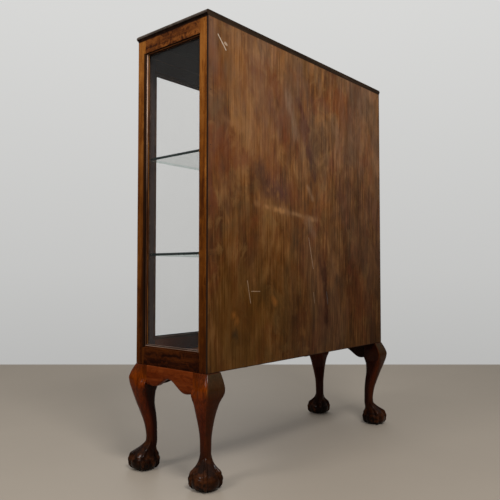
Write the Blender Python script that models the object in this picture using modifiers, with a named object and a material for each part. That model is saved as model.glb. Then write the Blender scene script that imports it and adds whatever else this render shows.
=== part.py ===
"""China cabinet: glazed carcase with two hinged glass doors, standing on four cabriole legs.

Metres, +Z up, the floor at z = 0. The doors face -Y, and +X is the right hand seen from the front.
"""

from math import cos, pi, sin, sqrt

import bmesh
import bpy
from mathutils import Matrix, Vector

GAP = 0.0003  # between two pieces that meet

# Carcase
WIDTH = 0.936
DEPTH = 0.293
LEG_HEIGHT = 0.304
CARCASE_HEIGHT = 0.955
POST_THICK = 0.022  # along X
OPENING_FRONT = -0.1135  # the glazed side opening along Y
OPENING_BACK = 0.1155
SIDE_RAIL_TOP = 0.0425
SIDE_RAIL_BOTTOM = 0.0495
FRONT_RAIL_TOP = 0.0425
FRONT_RAIL_BOTTOM = 0.028
FRONT_THICK = 0.019
BOTTOM_BOARD_THICK = 0.017
BACK_THICK = 0.0055
BACK_INSET = 0.001
ARRIS = 0.0008
SIDES = {"left": -1, "right": 1}

# Top board
TOP_THICK = 0.015
TOP_SIDE_OVERHANG = 0.005
TOP_FRONT_OVERHANG = 0.0105
TOP_CORNER = 0.0115
TOP_CORNER_STEPS = 5
TOP_MOULDING = (  # height above the underside, inset from the widest outline
    (0.0, 0.0045),
    (0.0035, 0.004),
    (0.006, 0.0015),
    (0.009, 0.0),
    (0.0115, 0.0005),
    (0.0135, 0.003),
    (TOP_THICK, 0.008),
)

# Glazing
GLASS_THICK = 0.003
SIDE_LIP = 0.009  # wood in front of the glass
SIDE_REBATE = 0.0055
DOOR_LIP = 0.0095
DOOR_REBATE = 0.008

# Shelves
SHELF_HEIGHTS = {"lower": 0.6185, "upper": 0.9005}  # undersides
SHELF_THICK = 0.0075
SHELF_FRONT = -0.125
SHELF_BACK = 0.1385
SHELF_SIDE_GAP = 0.0015
PIN_RADIUS = 0.0025
PIN_OUT = 0.010
PIN_IN = 0.010
PIN_FRONT = -0.1237
PIN_BACK = 0.131
PIN_SEGMENTS = 12

# Doors
DOOR_GAP = 0.0015
MEETING_GAP = 0.001  # from the middle to each door
DOOR_STILE = 0.032
DOOR_RAIL_TOP = 0.043
DOOR_RAIL_BOTTOM = 0.043

# Butt hinges
HINGE_HEIGHT = 0.050
HINGE_FROM_END = 0.105
HINGE_OUT = 0.0035  # pin axis in front of the doors
KNUCKLE_RADIUS = 0.0032
HINGE_PIN_RADIUS = 0.0015
HINGE_BORE_RADIUS = 0.00165
LEAF_THICK = 0.0018
LEAF_CLEARANCE = 0.00035  # from the pin axis plane to each leaf
LEAF_DEPTH = 0.015
WEB_DEPTH = 0.005  # how far behind the carcase face a knuckle's web runs
KNUCKLE_SEGMENTS = 16

# Lock on the right door, and its key
LOCK_HEIGHT = 0.778  # of the key
LOCK_WIDTH = 0.023
LOCK_TALL = 0.046
LOCK_DEEP = 0.010
LOCK_EDGE = 0.0015  # from the middle to the case
LOCK_BOLT_TALL = 0.012
LOCK_BOLT_DEEP = 0.004
LOCK_BOLT_LENGTH = 0.020
LOCK_BOLT_RISE = 0.011  # of the bolt above the key
LOCK_BOLT_FROM_DOOR = 0.0015
CHAMBER_RADIUS = 0.0095
CHAMBER_DEEP = 0.0075
CHAMBER_SEGMENTS = 24
KEY_X = 0.0135
KEY_RADIUS = 0.0018
KEY_HOLE_RADIUS = 0.0024
KEY_HOLE_SEGMENTS = 16
KEY_SEGMENTS = 12
KEY_BIT_LENGTH = 0.0075
KEY_BIT_THICK = 0.0018
KEY_BIT_DEEP = 0.005
KEY_OUT = 0.0125
BOW_RADIUS = 0.008
BOW_TUBE = 0.0016
BOW_POINTS = 20

# Sliding bolts on the left door
BOLT_X = -0.017
BOLT_RADIUS = 0.0025
BOLT_LENGTH = 0.060
BOLT_THROW = 0.010
BOLT_DEPTH = 0.0048  # of its axis in the door's back
BOLT_END = 0.0008
BOLT_GROOVE = 0.075
BOLT_KNOB = 0.0024
BOLT_KNOB_OUT = 0.006
BOLT_SEGMENTS = 12
SOCKET_SPARE = 0.002  # depth of a socket past the bolt's end

# Aprons
APRON_THICK = 0.019
APRON_PROUD = 0.003
APRON_ROUND = 0.002
APRON_STEPS = 7
LEG_BLOCK = 0.0505
SIDE_APRON = (  # turning points of the lower edge, along Y
    (-0.0965, 0.2490),
    (-0.0680, 0.2465),
    (-0.0060, 0.2730),
    (0.0640, 0.2410),
    (0.0965, 0.2445),
)
LEFT_APRON = ((-0.0965, 0.2590), (-0.0680, 0.2570), *SIDE_APRON[2:])  # its front half was cut higher
FRONT_APRON = (  # the same along X
    (-0.4180, 0.2365),
    (-0.3695, 0.2345),
    (-0.2770, 0.2570),
    (-0.1000, 0.2540),
    (0.0000, 0.2360),
    (0.1000, 0.2540),
    (0.2770, 0.2570),
    (0.3695, 0.2345),
    (0.4180, 0.2365),
)

# Cabriole leg, measured along the outward diagonal from the carcase corner
LEG_SECTIONS = (  # height, outer edge, inner edge, half width, squareness
    (0.3037, 0.0009, -0.0690, 0.0362, 10.0),
    (0.2836, 0.0136, -0.0683, 0.0436, 8.0),
    (0.2664, 0.0208, -0.0678, 0.0480, 8.0),
    (0.2550, 0.0199, -0.0678, 0.0485, 7.0),
    (0.2445, 0.0174, -0.0659, 0.0452, 5.0),
    (0.2330, 0.0134, -0.0611, 0.0390, 3.6),
    (0.2197, 0.0086, -0.0568, 0.0334, 3.0),
    (0.1900, -0.0032, -0.0544, 0.0260, 2.4),
    (0.1614, -0.0151, -0.0583, 0.0205, 2.1),
    (0.1318, -0.0250, -0.0614, 0.0165, 2.0),
    (0.1003, -0.0301, -0.0621, 0.0155, 2.0),
    (0.0812, -0.0277, -0.0626, 0.0158, 2.0),
    (0.0630, -0.0162, -0.0626, 0.0191, 2.0),
    (0.0478, -0.0057, -0.0573, 0.0248, 2.0),
    (0.0344, -0.0095, -0.0478, 0.0191, 2.0),
)
LEG_POINTS = 20
FOOT_CENTRE = -0.0244  # on the same diagonal
BALL_PROFILE = (  # radius, height, from the top down
    (0.0, 0.0500),
    (0.0191, 0.0480),
    (0.0300, 0.0410),
    (0.0362, 0.0325),
    (0.0386, 0.0220),
    (0.0374, 0.0115),
    (0.0329, 0.0038),
    (0.0248, 0.0),
    (0.0, 0.0),
)
BALL_POINTS = 20
TOE_PATH = (  # distance from the ball's axis, height, radius
    (0.0076, 0.0740, 0.0055),
    (0.0172, 0.0600, 0.0068),
    (0.0282, 0.0495, 0.0078),
    (0.0350, 0.0400, 0.0072),
    (0.0385, 0.0290, 0.0070),
    (0.0394, 0.0185, 0.0062),
    (0.0372, 0.0086, 0.0046),
    (0.0330, 0.0035, 0.0020),
)
TOE_POINTS = 8

HALF_WIDTH = WIDTH / 2
HALF_DEPTH = DEPTH / 2
CARCASE_TOP = LEG_HEIGHT + CARCASE_HEIGHT
POST_INNER = HALF_WIDTH - POST_THICK
BACK_FRONT = HALF_DEPTH - BACK_THICK  # front face of the back panel
FRONT_BACK = -HALF_DEPTH + FRONT_THICK  # back face of the doors
FLOOR = LEG_HEIGHT + FRONT_RAIL_BOTTOM
OPENING_LOW = LEG_HEIGHT + SIDE_RAIL_BOTTOM
OPENING_HIGH = CARCASE_TOP - SIDE_RAIL_TOP
DOOR_LOW = FLOOR + DOOR_GAP
DOOR_HIGH = CARCASE_TOP - FRONT_RAIL_TOP - DOOR_GAP
DOOR_OUTER = POST_INNER - DOOR_GAP
HINGE_X = POST_INNER - DOOR_GAP / 2
HINGE_Y = -HALF_DEPTH - HINGE_OUT
HINGE_HEIGHTS = {"lower": DOOR_LOW + HINGE_FROM_END, "upper": DOOR_HIGH - HINGE_FROM_END}
PAST = 0.010  # how far a cutter runs past the face that it opens
WELD = 1e-6  # closer points than this are one
SCREW_MERGE = 1e-5
SMOOTH_ANGLE = pi / 6
AXIS_SIZE = 0.05  # drawn size of a joint's empty

DARK_OAK = (0.20, 0.085, 0.032)
MAHOGANY = (0.24, 0.065, 0.028)
NEARLY_BLACK = (0.03, 0.022, 0.016)
DULL_BACK = (0.16, 0.095, 0.055)
INSIDE = (0.07, 0.045, 0.032)
PANE = (0.86, 0.92, 0.90)
GREEN_PANE = (0.62, 0.78, 0.72)
BRASS = (0.62, 0.44, 0.18)
STEEL = (0.42, 0.40, 0.37)
WOOD_ROUGHNESS = 0.45
METAL_ROUGHNESS = 0.38
GLASS_ROUGHNESS = 0.03
GLASS_TRANSMISSION = 0.95


def empty_scene():
    for found in list(bpy.data.objects):
        bpy.data.objects.remove(found, do_unlink=True)


def new_collection(name):
    collection = bpy.data.collections.new(name)
    bpy.context.scene.collection.children.link(collection)
    return collection


def material(name, colour, roughness, metallic, transmission):
    made = bpy.data.materials.new(name)
    made.use_nodes = True
    shader = made.node_tree.nodes["Principled BSDF"]
    shader.inputs["Base Color"].default_value = (*colour, 1.0)
    shader.inputs["Roughness"].default_value = roughness
    shader.inputs["Metallic"].default_value = metallic
    shader.inputs["Transmission Weight"].default_value = transmission
    return made


def finish(piece, colour, roughness=WOOD_ROUGHNESS, metallic=0.0, transmission=0.0):
    piece.data.materials.clear()
    piece.data.materials.append(material(piece.name, colour, roughness, metallic, transmission))
    return piece


def wood(piece, colour):
    return finish(piece, colour)


def glass(piece, colour=PANE):
    return finish(piece, colour, roughness=GLASS_ROUGHNESS, transmission=GLASS_TRANSMISSION)


def brass(piece):
    return finish(piece, BRASS, roughness=METAL_ROUGHNESS, metallic=1.0)


def steel(piece):
    return finish(piece, STEEL, roughness=METAL_ROUGHNESS, metallic=1.0)


def smooth(piece):
    """Shades round faces smooth and leaves the edges between flats sharp."""
    piece.data.shade_smooth()
    piece.data.set_sharp_from_angle(angle=SMOOTH_ANGLE)
    return piece


def mesh_object(name, bm, location=(0, 0, 0)):
    data = bpy.data.meshes.new(name)
    bm.normal_update()
    bm.to_mesh(data)
    bm.free()
    made = bpy.data.objects.new(name, data)
    made.location = location
    cabinet.objects.link(made)
    return made


def box(name, corner, opposite, bevel=0.0):
    """A board between two opposite corners, its origin at its middle."""
    low = Vector(map(min, corner, opposite))
    high = Vector(map(max, corner, opposite))
    size = high - low
    bm = bmesh.new()
    bmesh.ops.create_cube(bm, size=1.0, matrix=Matrix.Diagonal((*size, 1.0)))
    made = mesh_object(name, bm, (low + high) / 2)
    if bevel:
        round_edges(made, bevel, 1)
    return made


def round_edges(piece, width, segments):
    modifier = piece.modifiers.new("arris", "BEVEL")
    modifier.width = width
    modifier.segments = segments
    modifier.limit_method = "ANGLE"
    modifier.angle_limit = pi / 4


def rod(name, start, end, radius, segments):
    """A cylinder between two points, its origin at the first."""
    start, along = Vector(start), Vector(end) - Vector(start)
    turn = along.to_track_quat("Z", "Y").to_matrix().to_4x4()
    bm = bmesh.new()
    bmesh.ops.create_cone(
        bm,
        cap_ends=True,
        segments=segments,
        radius1=radius,
        radius2=radius,
        depth=along.length,
        matrix=turn @ Matrix.Translation((0, 0, along.length / 2)),
    )
    return smooth(mesh_object(name, bm, start))


def loft(name, rings):
    """A closed skin over rings that have the same number of points."""
    bm = bmesh.new()
    rows = [[bm.verts.new(point) for point in ring] for ring in rings]
    count = len(rows[0])
    for row, after in zip(rows, rows[1:]):
        for i in range(count):
            j = (i + 1) % count
            bm.faces.new((row[i], row[j], after[j], after[i]))
    bm.faces.new(rows[0])
    bm.faces.new(rows[-1])
    bmesh.ops.recalc_face_normals(bm, faces=bm.faces)
    return mesh_object(name, bm)


def plate(name, outlines, thickness):
    """A flat piece in its own XY plane, thick along Z. The outlines after the first are holes."""
    curve = bpy.data.curves.new(name, "CURVE")
    curve.dimensions = "2D"
    curve.fill_mode = "BOTH"
    curve.extrude = thickness / 2
    for outline in outlines:
        spline = curve.splines.new("POLY")
        spline.points.add(len(outline) - 1)
        for point, (x, y) in zip(spline.points, outline):
            point.co = (x, y, 0, 1)
        spline.use_cyclic_u = True
    drawn = bpy.data.objects.new(name + "_outline", curve)
    cabinet.objects.link(drawn)
    made = evaluated_copy(name, drawn)
    bpy.data.objects.remove(drawn, do_unlink=True)
    bm = bmesh.new()
    bm.from_mesh(made.data)
    bmesh.ops.remove_doubles(bm, verts=bm.verts, dist=WELD)
    bmesh.ops.recalc_face_normals(bm, faces=bm.faces)
    bm.to_mesh(made.data)
    bm.free()
    return made


def evaluated_copy(name, source):
    """A plain mesh object with the shape that the source's modifiers or curve settings make."""
    bpy.context.view_layer.update()
    graph = bpy.context.evaluated_depsgraph_get()
    made = bpy.data.objects.new(name, bpy.data.meshes.new_from_object(source.evaluated_get(graph)))
    made.data.name = name
    made.matrix_world = source.matrix_world
    cabinet.objects.link(made)
    return smooth(made)


def as_cutter(piece):
    cabinet.objects.unlink(piece)
    cutters.objects.link(piece)
    piece.hide_render = True
    piece.display_type = "WIRE"
    return piece


def boolean(piece, other, operation):
    modifier = piece.modifiers.new(other.name, "BOOLEAN")
    modifier.operation = operation
    modifier.solver = "EXACT"
    modifier.object = other


def cut(piece, cutter):
    boolean(piece, cutter, "DIFFERENCE")


def joined(name, pieces):
    """One body made of several that overlap."""
    first, others = pieces[0], pieces[1:]
    for other in others:
        boolean(first, other, "UNION")
    made = evaluated_copy(name, first)
    for used in pieces:
        bpy.data.objects.remove(used, do_unlink=True)
    return made


def face_front(piece, location):
    """Turns a plate so that its own X and Y run along the world's X and Z."""
    piece.rotation_euler = (pi / 2, 0, 0)
    piece.location = location
    return piece


def face_side(piece, location):
    """Turns a plate so that its own X and Y run along the world's Y and Z."""
    piece.rotation_euler = (pi / 2, 0, pi / 2)
    piece.location = location
    return piece


def ride(pieces, carrier):
    for piece in pieces:
        piece.parent = carrier
        piece.matrix_parent_inverse = carrier.matrix_world.inverted()


def joint_axis(name, location):
    axis = bpy.data.objects.new(name, None)
    axis.location = location
    axis.empty_display_size = AXIS_SIZE
    cabinet.objects.link(axis)
    bpy.context.view_layer.update()
    return axis


def rectangle(left, low, right, high):
    return [(left, low), (right, low), (right, high), (left, high)]


def top_outline(inset, z):
    half_x = HALF_WIDTH + TOP_SIDE_OVERHANG
    front = -HALF_DEPTH - TOP_FRONT_OVERHANG
    ring = [Vector((half_x - inset, HALF_DEPTH, z)), Vector((inset - half_x, HALF_DEPTH, z))]
    for side, start in ((-1, pi), (1, 1.5 * pi)):
        middle = Vector((side * (half_x - TOP_CORNER), front + TOP_CORNER, z))
        for step in range(TOP_CORNER_STEPS + 1):
            angle = start + step / TOP_CORNER_STEPS * pi / 2
            ring.append(middle + (TOP_CORNER - inset) * Vector((cos(angle), sin(angle), 0)))
    return ring


def build_carcase():
    rings = [top_outline(inset, CARCASE_TOP + rise) for rise, inset in TOP_MOULDING]
    wood(loft("top_board", rings), NEARLY_BLACK)

    for name, side in SIDES.items():
        glaze_side(name, side)

    inner = POST_INNER - GAP
    top_rail = box(
        "front_rail_top",
        (-inner, -HALF_DEPTH, CARCASE_TOP - FRONT_RAIL_TOP),
        (inner, FRONT_BACK, CARCASE_TOP - GAP),
        ARRIS,
    )
    bottom_rail = box(
        "front_rail_bottom",
        (-inner, -HALF_DEPTH, LEG_HEIGHT),
        (inner, FRONT_BACK, FLOOR),
        ARRIS,
    )
    for rail, mouth, way in ((top_rail, DOOR_HIGH, 1), (bottom_rail, DOOR_LOW, -1)):
        start = Vector((BOLT_X, FRONT_BACK - BOLT_DEPTH, mouth))
        end = start + Vector((0, 0, way * (BOLT_THROW + DOOR_GAP + SOCKET_SPARE)))
        cut(rail, as_cutter(rod(rail.name + "_socket", start, end, BOLT_RADIUS + GAP, BOLT_SEGMENTS)))
        wood(rail, DARK_OAK)

    board = box(
        "bottom_board",
        (-inner, FRONT_BACK + GAP, FLOOR - BOTTOM_BOARD_THICK),
        (inner, BACK_FRONT - GAP, FLOOR),
    )
    wood(board, INSIDE)
    panel = box(
        "back_panel",
        (BACK_INSET - HALF_WIDTH, BACK_FRONT, LEG_HEIGHT + GAP),
        (HALF_WIDTH - BACK_INSET, HALF_DEPTH, CARCASE_TOP - GAP),
    )
    wood(panel, DULL_BACK)


def glaze_side(name, side):
    """The two posts, two rails, pane and inner bead of one side."""
    outer, inner = side * HALF_WIDTH, side * POST_INNER
    reveal = as_cutter(
        box(
            f"side_{name}_rebate",
            (inner - side * PAST, OPENING_FRONT - SIDE_REBATE, OPENING_LOW - SIDE_REBATE),
            (outer - side * SIDE_LIP, OPENING_BACK + SIDE_REBATE, OPENING_HIGH + SIDE_REBATE),
        )
    )
    frame = [
        box(
            f"post_front_{name}",
            (inner, -HALF_DEPTH, LEG_HEIGHT),
            (outer, OPENING_FRONT - GAP, CARCASE_TOP - GAP),
            ARRIS,
        ),
        box(
            f"post_back_{name}",
            (inner, OPENING_BACK + GAP, LEG_HEIGHT),
            (outer, BACK_FRONT - GAP, CARCASE_TOP - GAP),
            ARRIS,
        ),
        box(
            f"side_rail_top_{name}",
            (inner, OPENING_FRONT, OPENING_HIGH),
            (outer, OPENING_BACK, CARCASE_TOP - GAP),
        ),
        box(
            f"side_rail_bottom_{name}",
            (inner, OPENING_FRONT, LEG_HEIGHT),
            (outer, OPENING_BACK, OPENING_LOW),
        ),
    ]
    for piece in frame:
        cut(piece, reveal)
        wood(piece, DARK_OAK)
    hinge_recesses(frame[0], name, side, fixed=True)
    for row, height in SHELF_HEIGHTS.items():
        for end, post, y in (("front", frame[0], PIN_FRONT), ("back", frame[1], PIN_BACK)):
            shelf_pin(f"{row}_{end}_{name}", post, side, y, height)

    edge = SIDE_REBATE - GAP
    outer_edge = rectangle(
        OPENING_FRONT - edge, OPENING_LOW - edge, OPENING_BACK + edge, OPENING_HIGH + edge
    )
    opening = rectangle(OPENING_FRONT, OPENING_LOW, OPENING_BACK, OPENING_HIGH)
    glass_out = HALF_WIDTH - SIDE_LIP - GAP
    bead_out = glass_out - GLASS_THICK - GAP
    bead_in = POST_INNER
    pane = plate(f"side_glass_{name}", [outer_edge], GLASS_THICK)
    glass(face_side(pane, (side * (glass_out - GLASS_THICK / 2), 0, 0)))
    bead = plate(f"side_bead_{name}", [outer_edge, opening], bead_out - bead_in)
    wood(face_side(bead, (side * (bead_out + bead_in) / 2, 0, 0)), DARK_OAK)


def shelf_pin(where, post, side, y, shelf):
    z = shelf - GAP - PIN_RADIUS
    start = Vector((side * (POST_INNER - PIN_OUT), y, z))
    end = Vector((side * (POST_INNER + PIN_IN), y, z))
    brass(rod(f"shelf_pin_{where}", start, end, PIN_RADIUS, PIN_SEGMENTS))
    deeper = end + Vector((side * GAP, 0, 0))
    hole = rod(f"shelf_pin_{where}_hole", start, deeper, PIN_RADIUS + GAP, PIN_SEGMENTS)
    cut(post, as_cutter(hole))


def build_shelves():
    reach = POST_INNER - SHELF_SIDE_GAP
    for row, height in SHELF_HEIGHTS.items():
        low = (-reach, SHELF_FRONT, height)
        high = (reach, SHELF_BACK, height + SHELF_THICK)
        glass(box(f"shelf_{row}", low, high), GREEN_PANE)


def leaf_box(name, side, z, fixed, extra):
    """The flat of one hinge leaf, or with extra clearance the recess that takes it."""
    way = side if fixed else -side
    near = HINGE_X * side + way * LEAF_CLEARANCE
    far = near + way * (LEAF_THICK + extra)
    front = -HALF_DEPTH - (PAST if extra else 0)
    back = -HALF_DEPTH + LEAF_DEPTH + extra
    half = HINGE_HEIGHT / 2 + extra
    return box(name, (near, front, z - half), (far, back, z + half))


def hinge_recesses(piece, name, side, fixed):
    for row, z in HINGE_HEIGHTS.items():
        cut(piece, as_cutter(leaf_box(f"{piece.name}_{row}_recess", side, z, fixed, GAP)))


def knuckle(name, side, low, high, fixed):
    """A barrel round the pin axis, with the web that joins it to its leaf."""
    x = side * HINGE_X
    barrel = rod(name, (x, HINGE_Y, low), (x, HINGE_Y, high), KNUCKLE_RADIUS, KNUCKLE_SEGMENTS)
    way = side if fixed else -side
    near = x + way * LEAF_CLEARANCE
    web = box(
        name + "_web",
        (near, HINGE_Y, low),
        (near + way * LEAF_THICK, -HALF_DEPTH + WEB_DEPTH, high),
    )
    return [barrel, web]


def build_hinge(name, side, row, z, door_axis):
    x = side * HINGE_X
    third = HINGE_HEIGHT / 3
    low, high = z - HINGE_HEIGHT / 2, z + HINGE_HEIGHT / 2
    fixed_name = f"hinge_{name}_{row}_post_leaf"
    fixed = [leaf_box(fixed_name + "_flat", side, z, True, 0)]
    fixed += knuckle(fixed_name + "_low", side, low, low + third, True)
    fixed += knuckle(fixed_name + "_high", side, high - third, high, True)
    bottom, top = (x, HINGE_Y, low + third / 2), (x, HINGE_Y, high - third / 2)
    fixed.append(rod(fixed_name + "_pin", bottom, top, HINGE_PIN_RADIUS, KNUCKLE_SEGMENTS))
    brass(joined(fixed_name, fixed))

    moving_name = f"hinge_{name}_{row}_door_leaf"
    moving = [leaf_box(moving_name + "_flat", side, z, False, 0)]
    moving += knuckle(moving_name + "_middle", side, low + third + GAP, high - third - GAP, False)
    leaf = brass(joined(moving_name, moving))
    ends = ((x, HINGE_Y, low), (x, HINGE_Y, high))
    bore = rod(moving_name + "_bore", *ends, HINGE_BORE_RADIUS, KNUCKLE_SEGMENTS)
    cut(leaf, as_cutter(bore))
    ride([leaf], door_axis)


def build_door(name, side):
    """One door's frame, pane, bead and hinges, carried by an empty on its hinge axis."""
    meeting, outer = side * MEETING_GAP, side * DOOR_OUTER
    glass_meeting = meeting + side * DOOR_STILE
    glass_outer = outer - side * DOOR_STILE
    glass_low, glass_high = DOOR_LOW + DOOR_RAIL_BOTTOM, DOOR_HIGH - DOOR_RAIL_TOP
    stile_meeting = box(
        f"door_{name}_stile_meeting",
        (meeting, -HALF_DEPTH, DOOR_LOW),
        (glass_meeting - side * GAP, FRONT_BACK, DOOR_HIGH),
        ARRIS,
    )
    stile_hinge = box(
        f"door_{name}_stile_hinge",
        (glass_outer + side * GAP, -HALF_DEPTH, DOOR_LOW),
        (outer, FRONT_BACK, DOOR_HIGH),
        ARRIS,
    )
    rail_top = box(
        f"door_{name}_rail_top",
        (glass_meeting, -HALF_DEPTH, glass_high),
        (glass_outer, FRONT_BACK, DOOR_HIGH),
    )
    rail_bottom = box(
        f"door_{name}_rail_bottom",
        (glass_meeting, -HALF_DEPTH, DOOR_LOW),
        (glass_outer, FRONT_BACK, glass_low),
    )
    reveal = as_cutter(
        box(
            f"door_{name}_rebate",
            (glass_meeting - side * DOOR_REBATE, -HALF_DEPTH + DOOR_LIP, glass_low - DOOR_REBATE),
            (glass_outer + side * DOOR_REBATE, FRONT_BACK + PAST, glass_high + DOOR_REBATE),
        )
    )
    frame = [stile_meeting, stile_hinge, rail_top, rail_bottom]
    for piece in frame:
        cut(piece, reveal)
        wood(piece, DARK_OAK)
    hinge_recesses(stile_hinge, name, side, fixed=False)

    left, right = sorted((glass_meeting, glass_outer))
    edge = DOOR_REBATE - GAP
    outer_edge = rectangle(left - edge, glass_low - edge, right + edge, glass_high + edge)
    opening = rectangle(left, glass_low, right, glass_high)
    glass_front = -HALF_DEPTH + DOOR_LIP + GAP
    bead_front = glass_front + GLASS_THICK + GAP
    pane = plate(f"door_{name}_glass", [outer_edge], GLASS_THICK)
    glass(face_front(pane, (0, glass_front + GLASS_THICK / 2, 0)))
    bead = plate(f"door_{name}_bead", [outer_edge, opening], FRONT_BACK - bead_front)
    wood(face_front(bead, (0, (FRONT_BACK + bead_front) / 2, 0)), DARK_OAK)

    axis = joint_axis(f"door_{name}_axis", (side * HINGE_X, HINGE_Y, DOOR_LOW))
    ride([*frame, pane, bead], axis)
    for row, z in HINGE_HEIGHTS.items():
        build_hinge(name, side, row, z, axis)
    return stile_meeting, axis


def build_lock(stile, door_axis):
    """Lock case on the back of the right door's meeting stile, its bolt, and the key through it."""
    front = FRONT_BACK + GAP
    case = box(
        "lock_case",
        (LOCK_EDGE, front, LOCK_HEIGHT - LOCK_TALL / 2),
        (LOCK_EDGE + LOCK_WIDTH, front + LOCK_DEEP, LOCK_HEIGHT + LOCK_TALL / 2),
        ARRIS,
    )
    middle = LOCK_HEIGHT + LOCK_BOLT_RISE + LOCK_BOLT_TALL / 2
    bolt_front = FRONT_BACK + LOCK_BOLT_FROM_DOOR
    low = Vector((LOCK_EDGE + GAP, bolt_front, middle - LOCK_BOLT_TALL / 2))
    high = low + Vector((LOCK_BOLT_LENGTH, LOCK_BOLT_DEEP, LOCK_BOLT_TALL))
    bolt = steel(box("lock_bolt", low, high))
    spare = Vector((GAP, GAP, GAP))
    slot = box("lock_bolt_slot", low - spare - Vector((PAST, 0, 0)), high + spare)
    cut(case, as_cutter(slot))
    chamber = rod(
        "lock_chamber",
        (KEY_X, front - PAST, LOCK_HEIGHT),
        (KEY_X, front + CHAMBER_DEEP, LOCK_HEIGHT),
        CHAMBER_RADIUS,
        CHAMBER_SEGMENTS,
    )
    cut(case, as_cutter(chamber))
    brass(case)

    hole = rod(
        "key_hole",
        (KEY_X, -HALF_DEPTH - PAST, LOCK_HEIGHT),
        (KEY_X, FRONT_BACK + PAST, LOCK_HEIGHT),
        KEY_HOLE_RADIUS,
        KEY_HOLE_SEGMENTS,
    )
    slit = box(
        "key_hole_slit",
        (KEY_X - KEY_BIT_THICK / 2 - GAP, -HALF_DEPTH - PAST, LOCK_HEIGHT - KEY_BIT_LENGTH - GAP),
        (KEY_X + KEY_BIT_THICK / 2 + GAP, FRONT_BACK + PAST, LOCK_HEIGHT),
    )
    cut(stile, as_cutter(hole))
    cut(stile, as_cutter(slit))

    shank_end = front + CHAMBER_DEEP - 2 * GAP
    bow_y = -HALF_DEPTH - KEY_OUT
    shank_start = (KEY_X, bow_y + BOW_RADIUS, LOCK_HEIGHT)
    shank = rod("key_shank", shank_start, (KEY_X, shank_end, LOCK_HEIGHT), KEY_RADIUS, KEY_SEGMENTS)
    bit = box(
        "key_bit",
        (KEY_X - KEY_BIT_THICK / 2, shank_end - KEY_BIT_DEEP, LOCK_HEIGHT - KEY_BIT_LENGTH),
        (KEY_X + KEY_BIT_THICK / 2, shank_end, LOCK_HEIGHT),
    )
    key = joined("key", [shank, bit, key_bow(bow_y)])
    steel(key)
    key_axis = joint_axis("key_axis", (KEY_X, -HALF_DEPTH, LOCK_HEIGHT))
    ride([key], key_axis)
    ride([case, bolt, key_axis], door_axis)


def key_bow(y):
    """The ring that the fingers turn, standing on edge."""
    curve = bpy.data.curves.new("bow", "CURVE")
    curve.dimensions = "3D"
    curve.bevel_depth = BOW_TUBE
    curve.bevel_resolution = 2
    spline = curve.splines.new("POLY")
    spline.points.add(BOW_POINTS - 1)
    for i, point in enumerate(spline.points):
        angle = 2 * pi * i / BOW_POINTS
        point.co = (0, BOW_RADIUS * cos(angle), BOW_RADIUS * sin(angle), 1)
    spline.use_cyclic_u = True
    drawn = bpy.data.objects.new("bow_path", curve)
    drawn.location = (KEY_X, y, LOCK_HEIGHT)
    cabinet.objects.link(drawn)
    made = evaluated_copy("key_bow", drawn)
    bpy.data.objects.remove(drawn, do_unlink=True)
    return made


def build_sliding_bolt(where, way, mouth, stile, door_axis):
    """A bolt in a groove in the back of the left door, drawn back from the carcase rail."""
    y = FRONT_BACK - BOLT_DEPTH
    tip = mouth - way * BOLT_END
    tail = tip - way * BOLT_LENGTH
    shaft = rod(f"{where}_shaft", (BOLT_X, y, tail), (BOLT_X, y, tip), BOLT_RADIUS, BOLT_SEGMENTS)
    grip = tail + way * 2 * BOLT_KNOB
    knob = rod(
        f"{where}_knob",
        (BOLT_X, y, grip),
        (BOLT_X, FRONT_BACK + BOLT_KNOB_OUT, grip),
        BOLT_KNOB,
        BOLT_SEGMENTS,
    )
    bolt = brass(joined(f"sliding_bolt_{where}", [shaft, knob]))
    ends = sorted((mouth - way * BOLT_GROOVE, mouth + way * PAST))
    groove = box(
        f"{where}_groove",
        (BOLT_X - BOLT_RADIUS - GAP, y - BOLT_RADIUS - GAP, ends[0]),
        (BOLT_X + BOLT_RADIUS + GAP, FRONT_BACK + PAST, ends[1]),
    )
    cut(stile, as_cutter(groove))
    ride([bolt], door_axis)


def lower_edge(turns, x):
    """Height of an apron's edge: a smooth swing from each turning point to the next."""
    for (x0, z0), (x1, z1) in zip(turns, turns[1:]):
        if x <= x1:
            share = (1 - cos(pi * max(x - x0, 0) / (x1 - x0))) / 2
            return z0 + (z1 - z0) * share
    return turns[-1][1]


def apron(name, reach, turns):
    """A shaped board centred on its own origin, its lower edge following the turning points."""
    edge = [(-reach, lower_edge(turns, -reach))]
    for (x0, _), (x1, _) in zip(turns, turns[1:]):
        for step in range(APRON_STEPS):
            x = x0 + (x1 - x0) * (step + 1) / APRON_STEPS
            if -reach < x < reach:
                edge.append((x, lower_edge(turns, x)))
    edge.append((reach, lower_edge(turns, reach)))
    top = LEG_HEIGHT - GAP
    return plate(name, [[*edge, (reach, top), (-reach, top)]], APRON_THICK)


def build_aprons():
    middle = APRON_PROUD - APRON_THICK / 2
    for name, side in SIDES.items():
        turns = LEFT_APRON if side < 0 else SIDE_APRON
        board = apron(f"apron_{name}", HALF_DEPTH - LEG_BLOCK - GAP, turns)
        face_side(board, (side * (HALF_WIDTH + middle), 0, 0))
        wood(board, MAHOGANY)
        round_edges(board, APRON_ROUND, 1)
    board = apron("apron_front", HALF_WIDTH - LEG_BLOCK - GAP, FRONT_APRON)
    wood(face_front(board, (0, -HALF_DEPTH - middle, 0)), MAHOGANY)
    round_edges(board, APRON_ROUND, 1)


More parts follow.
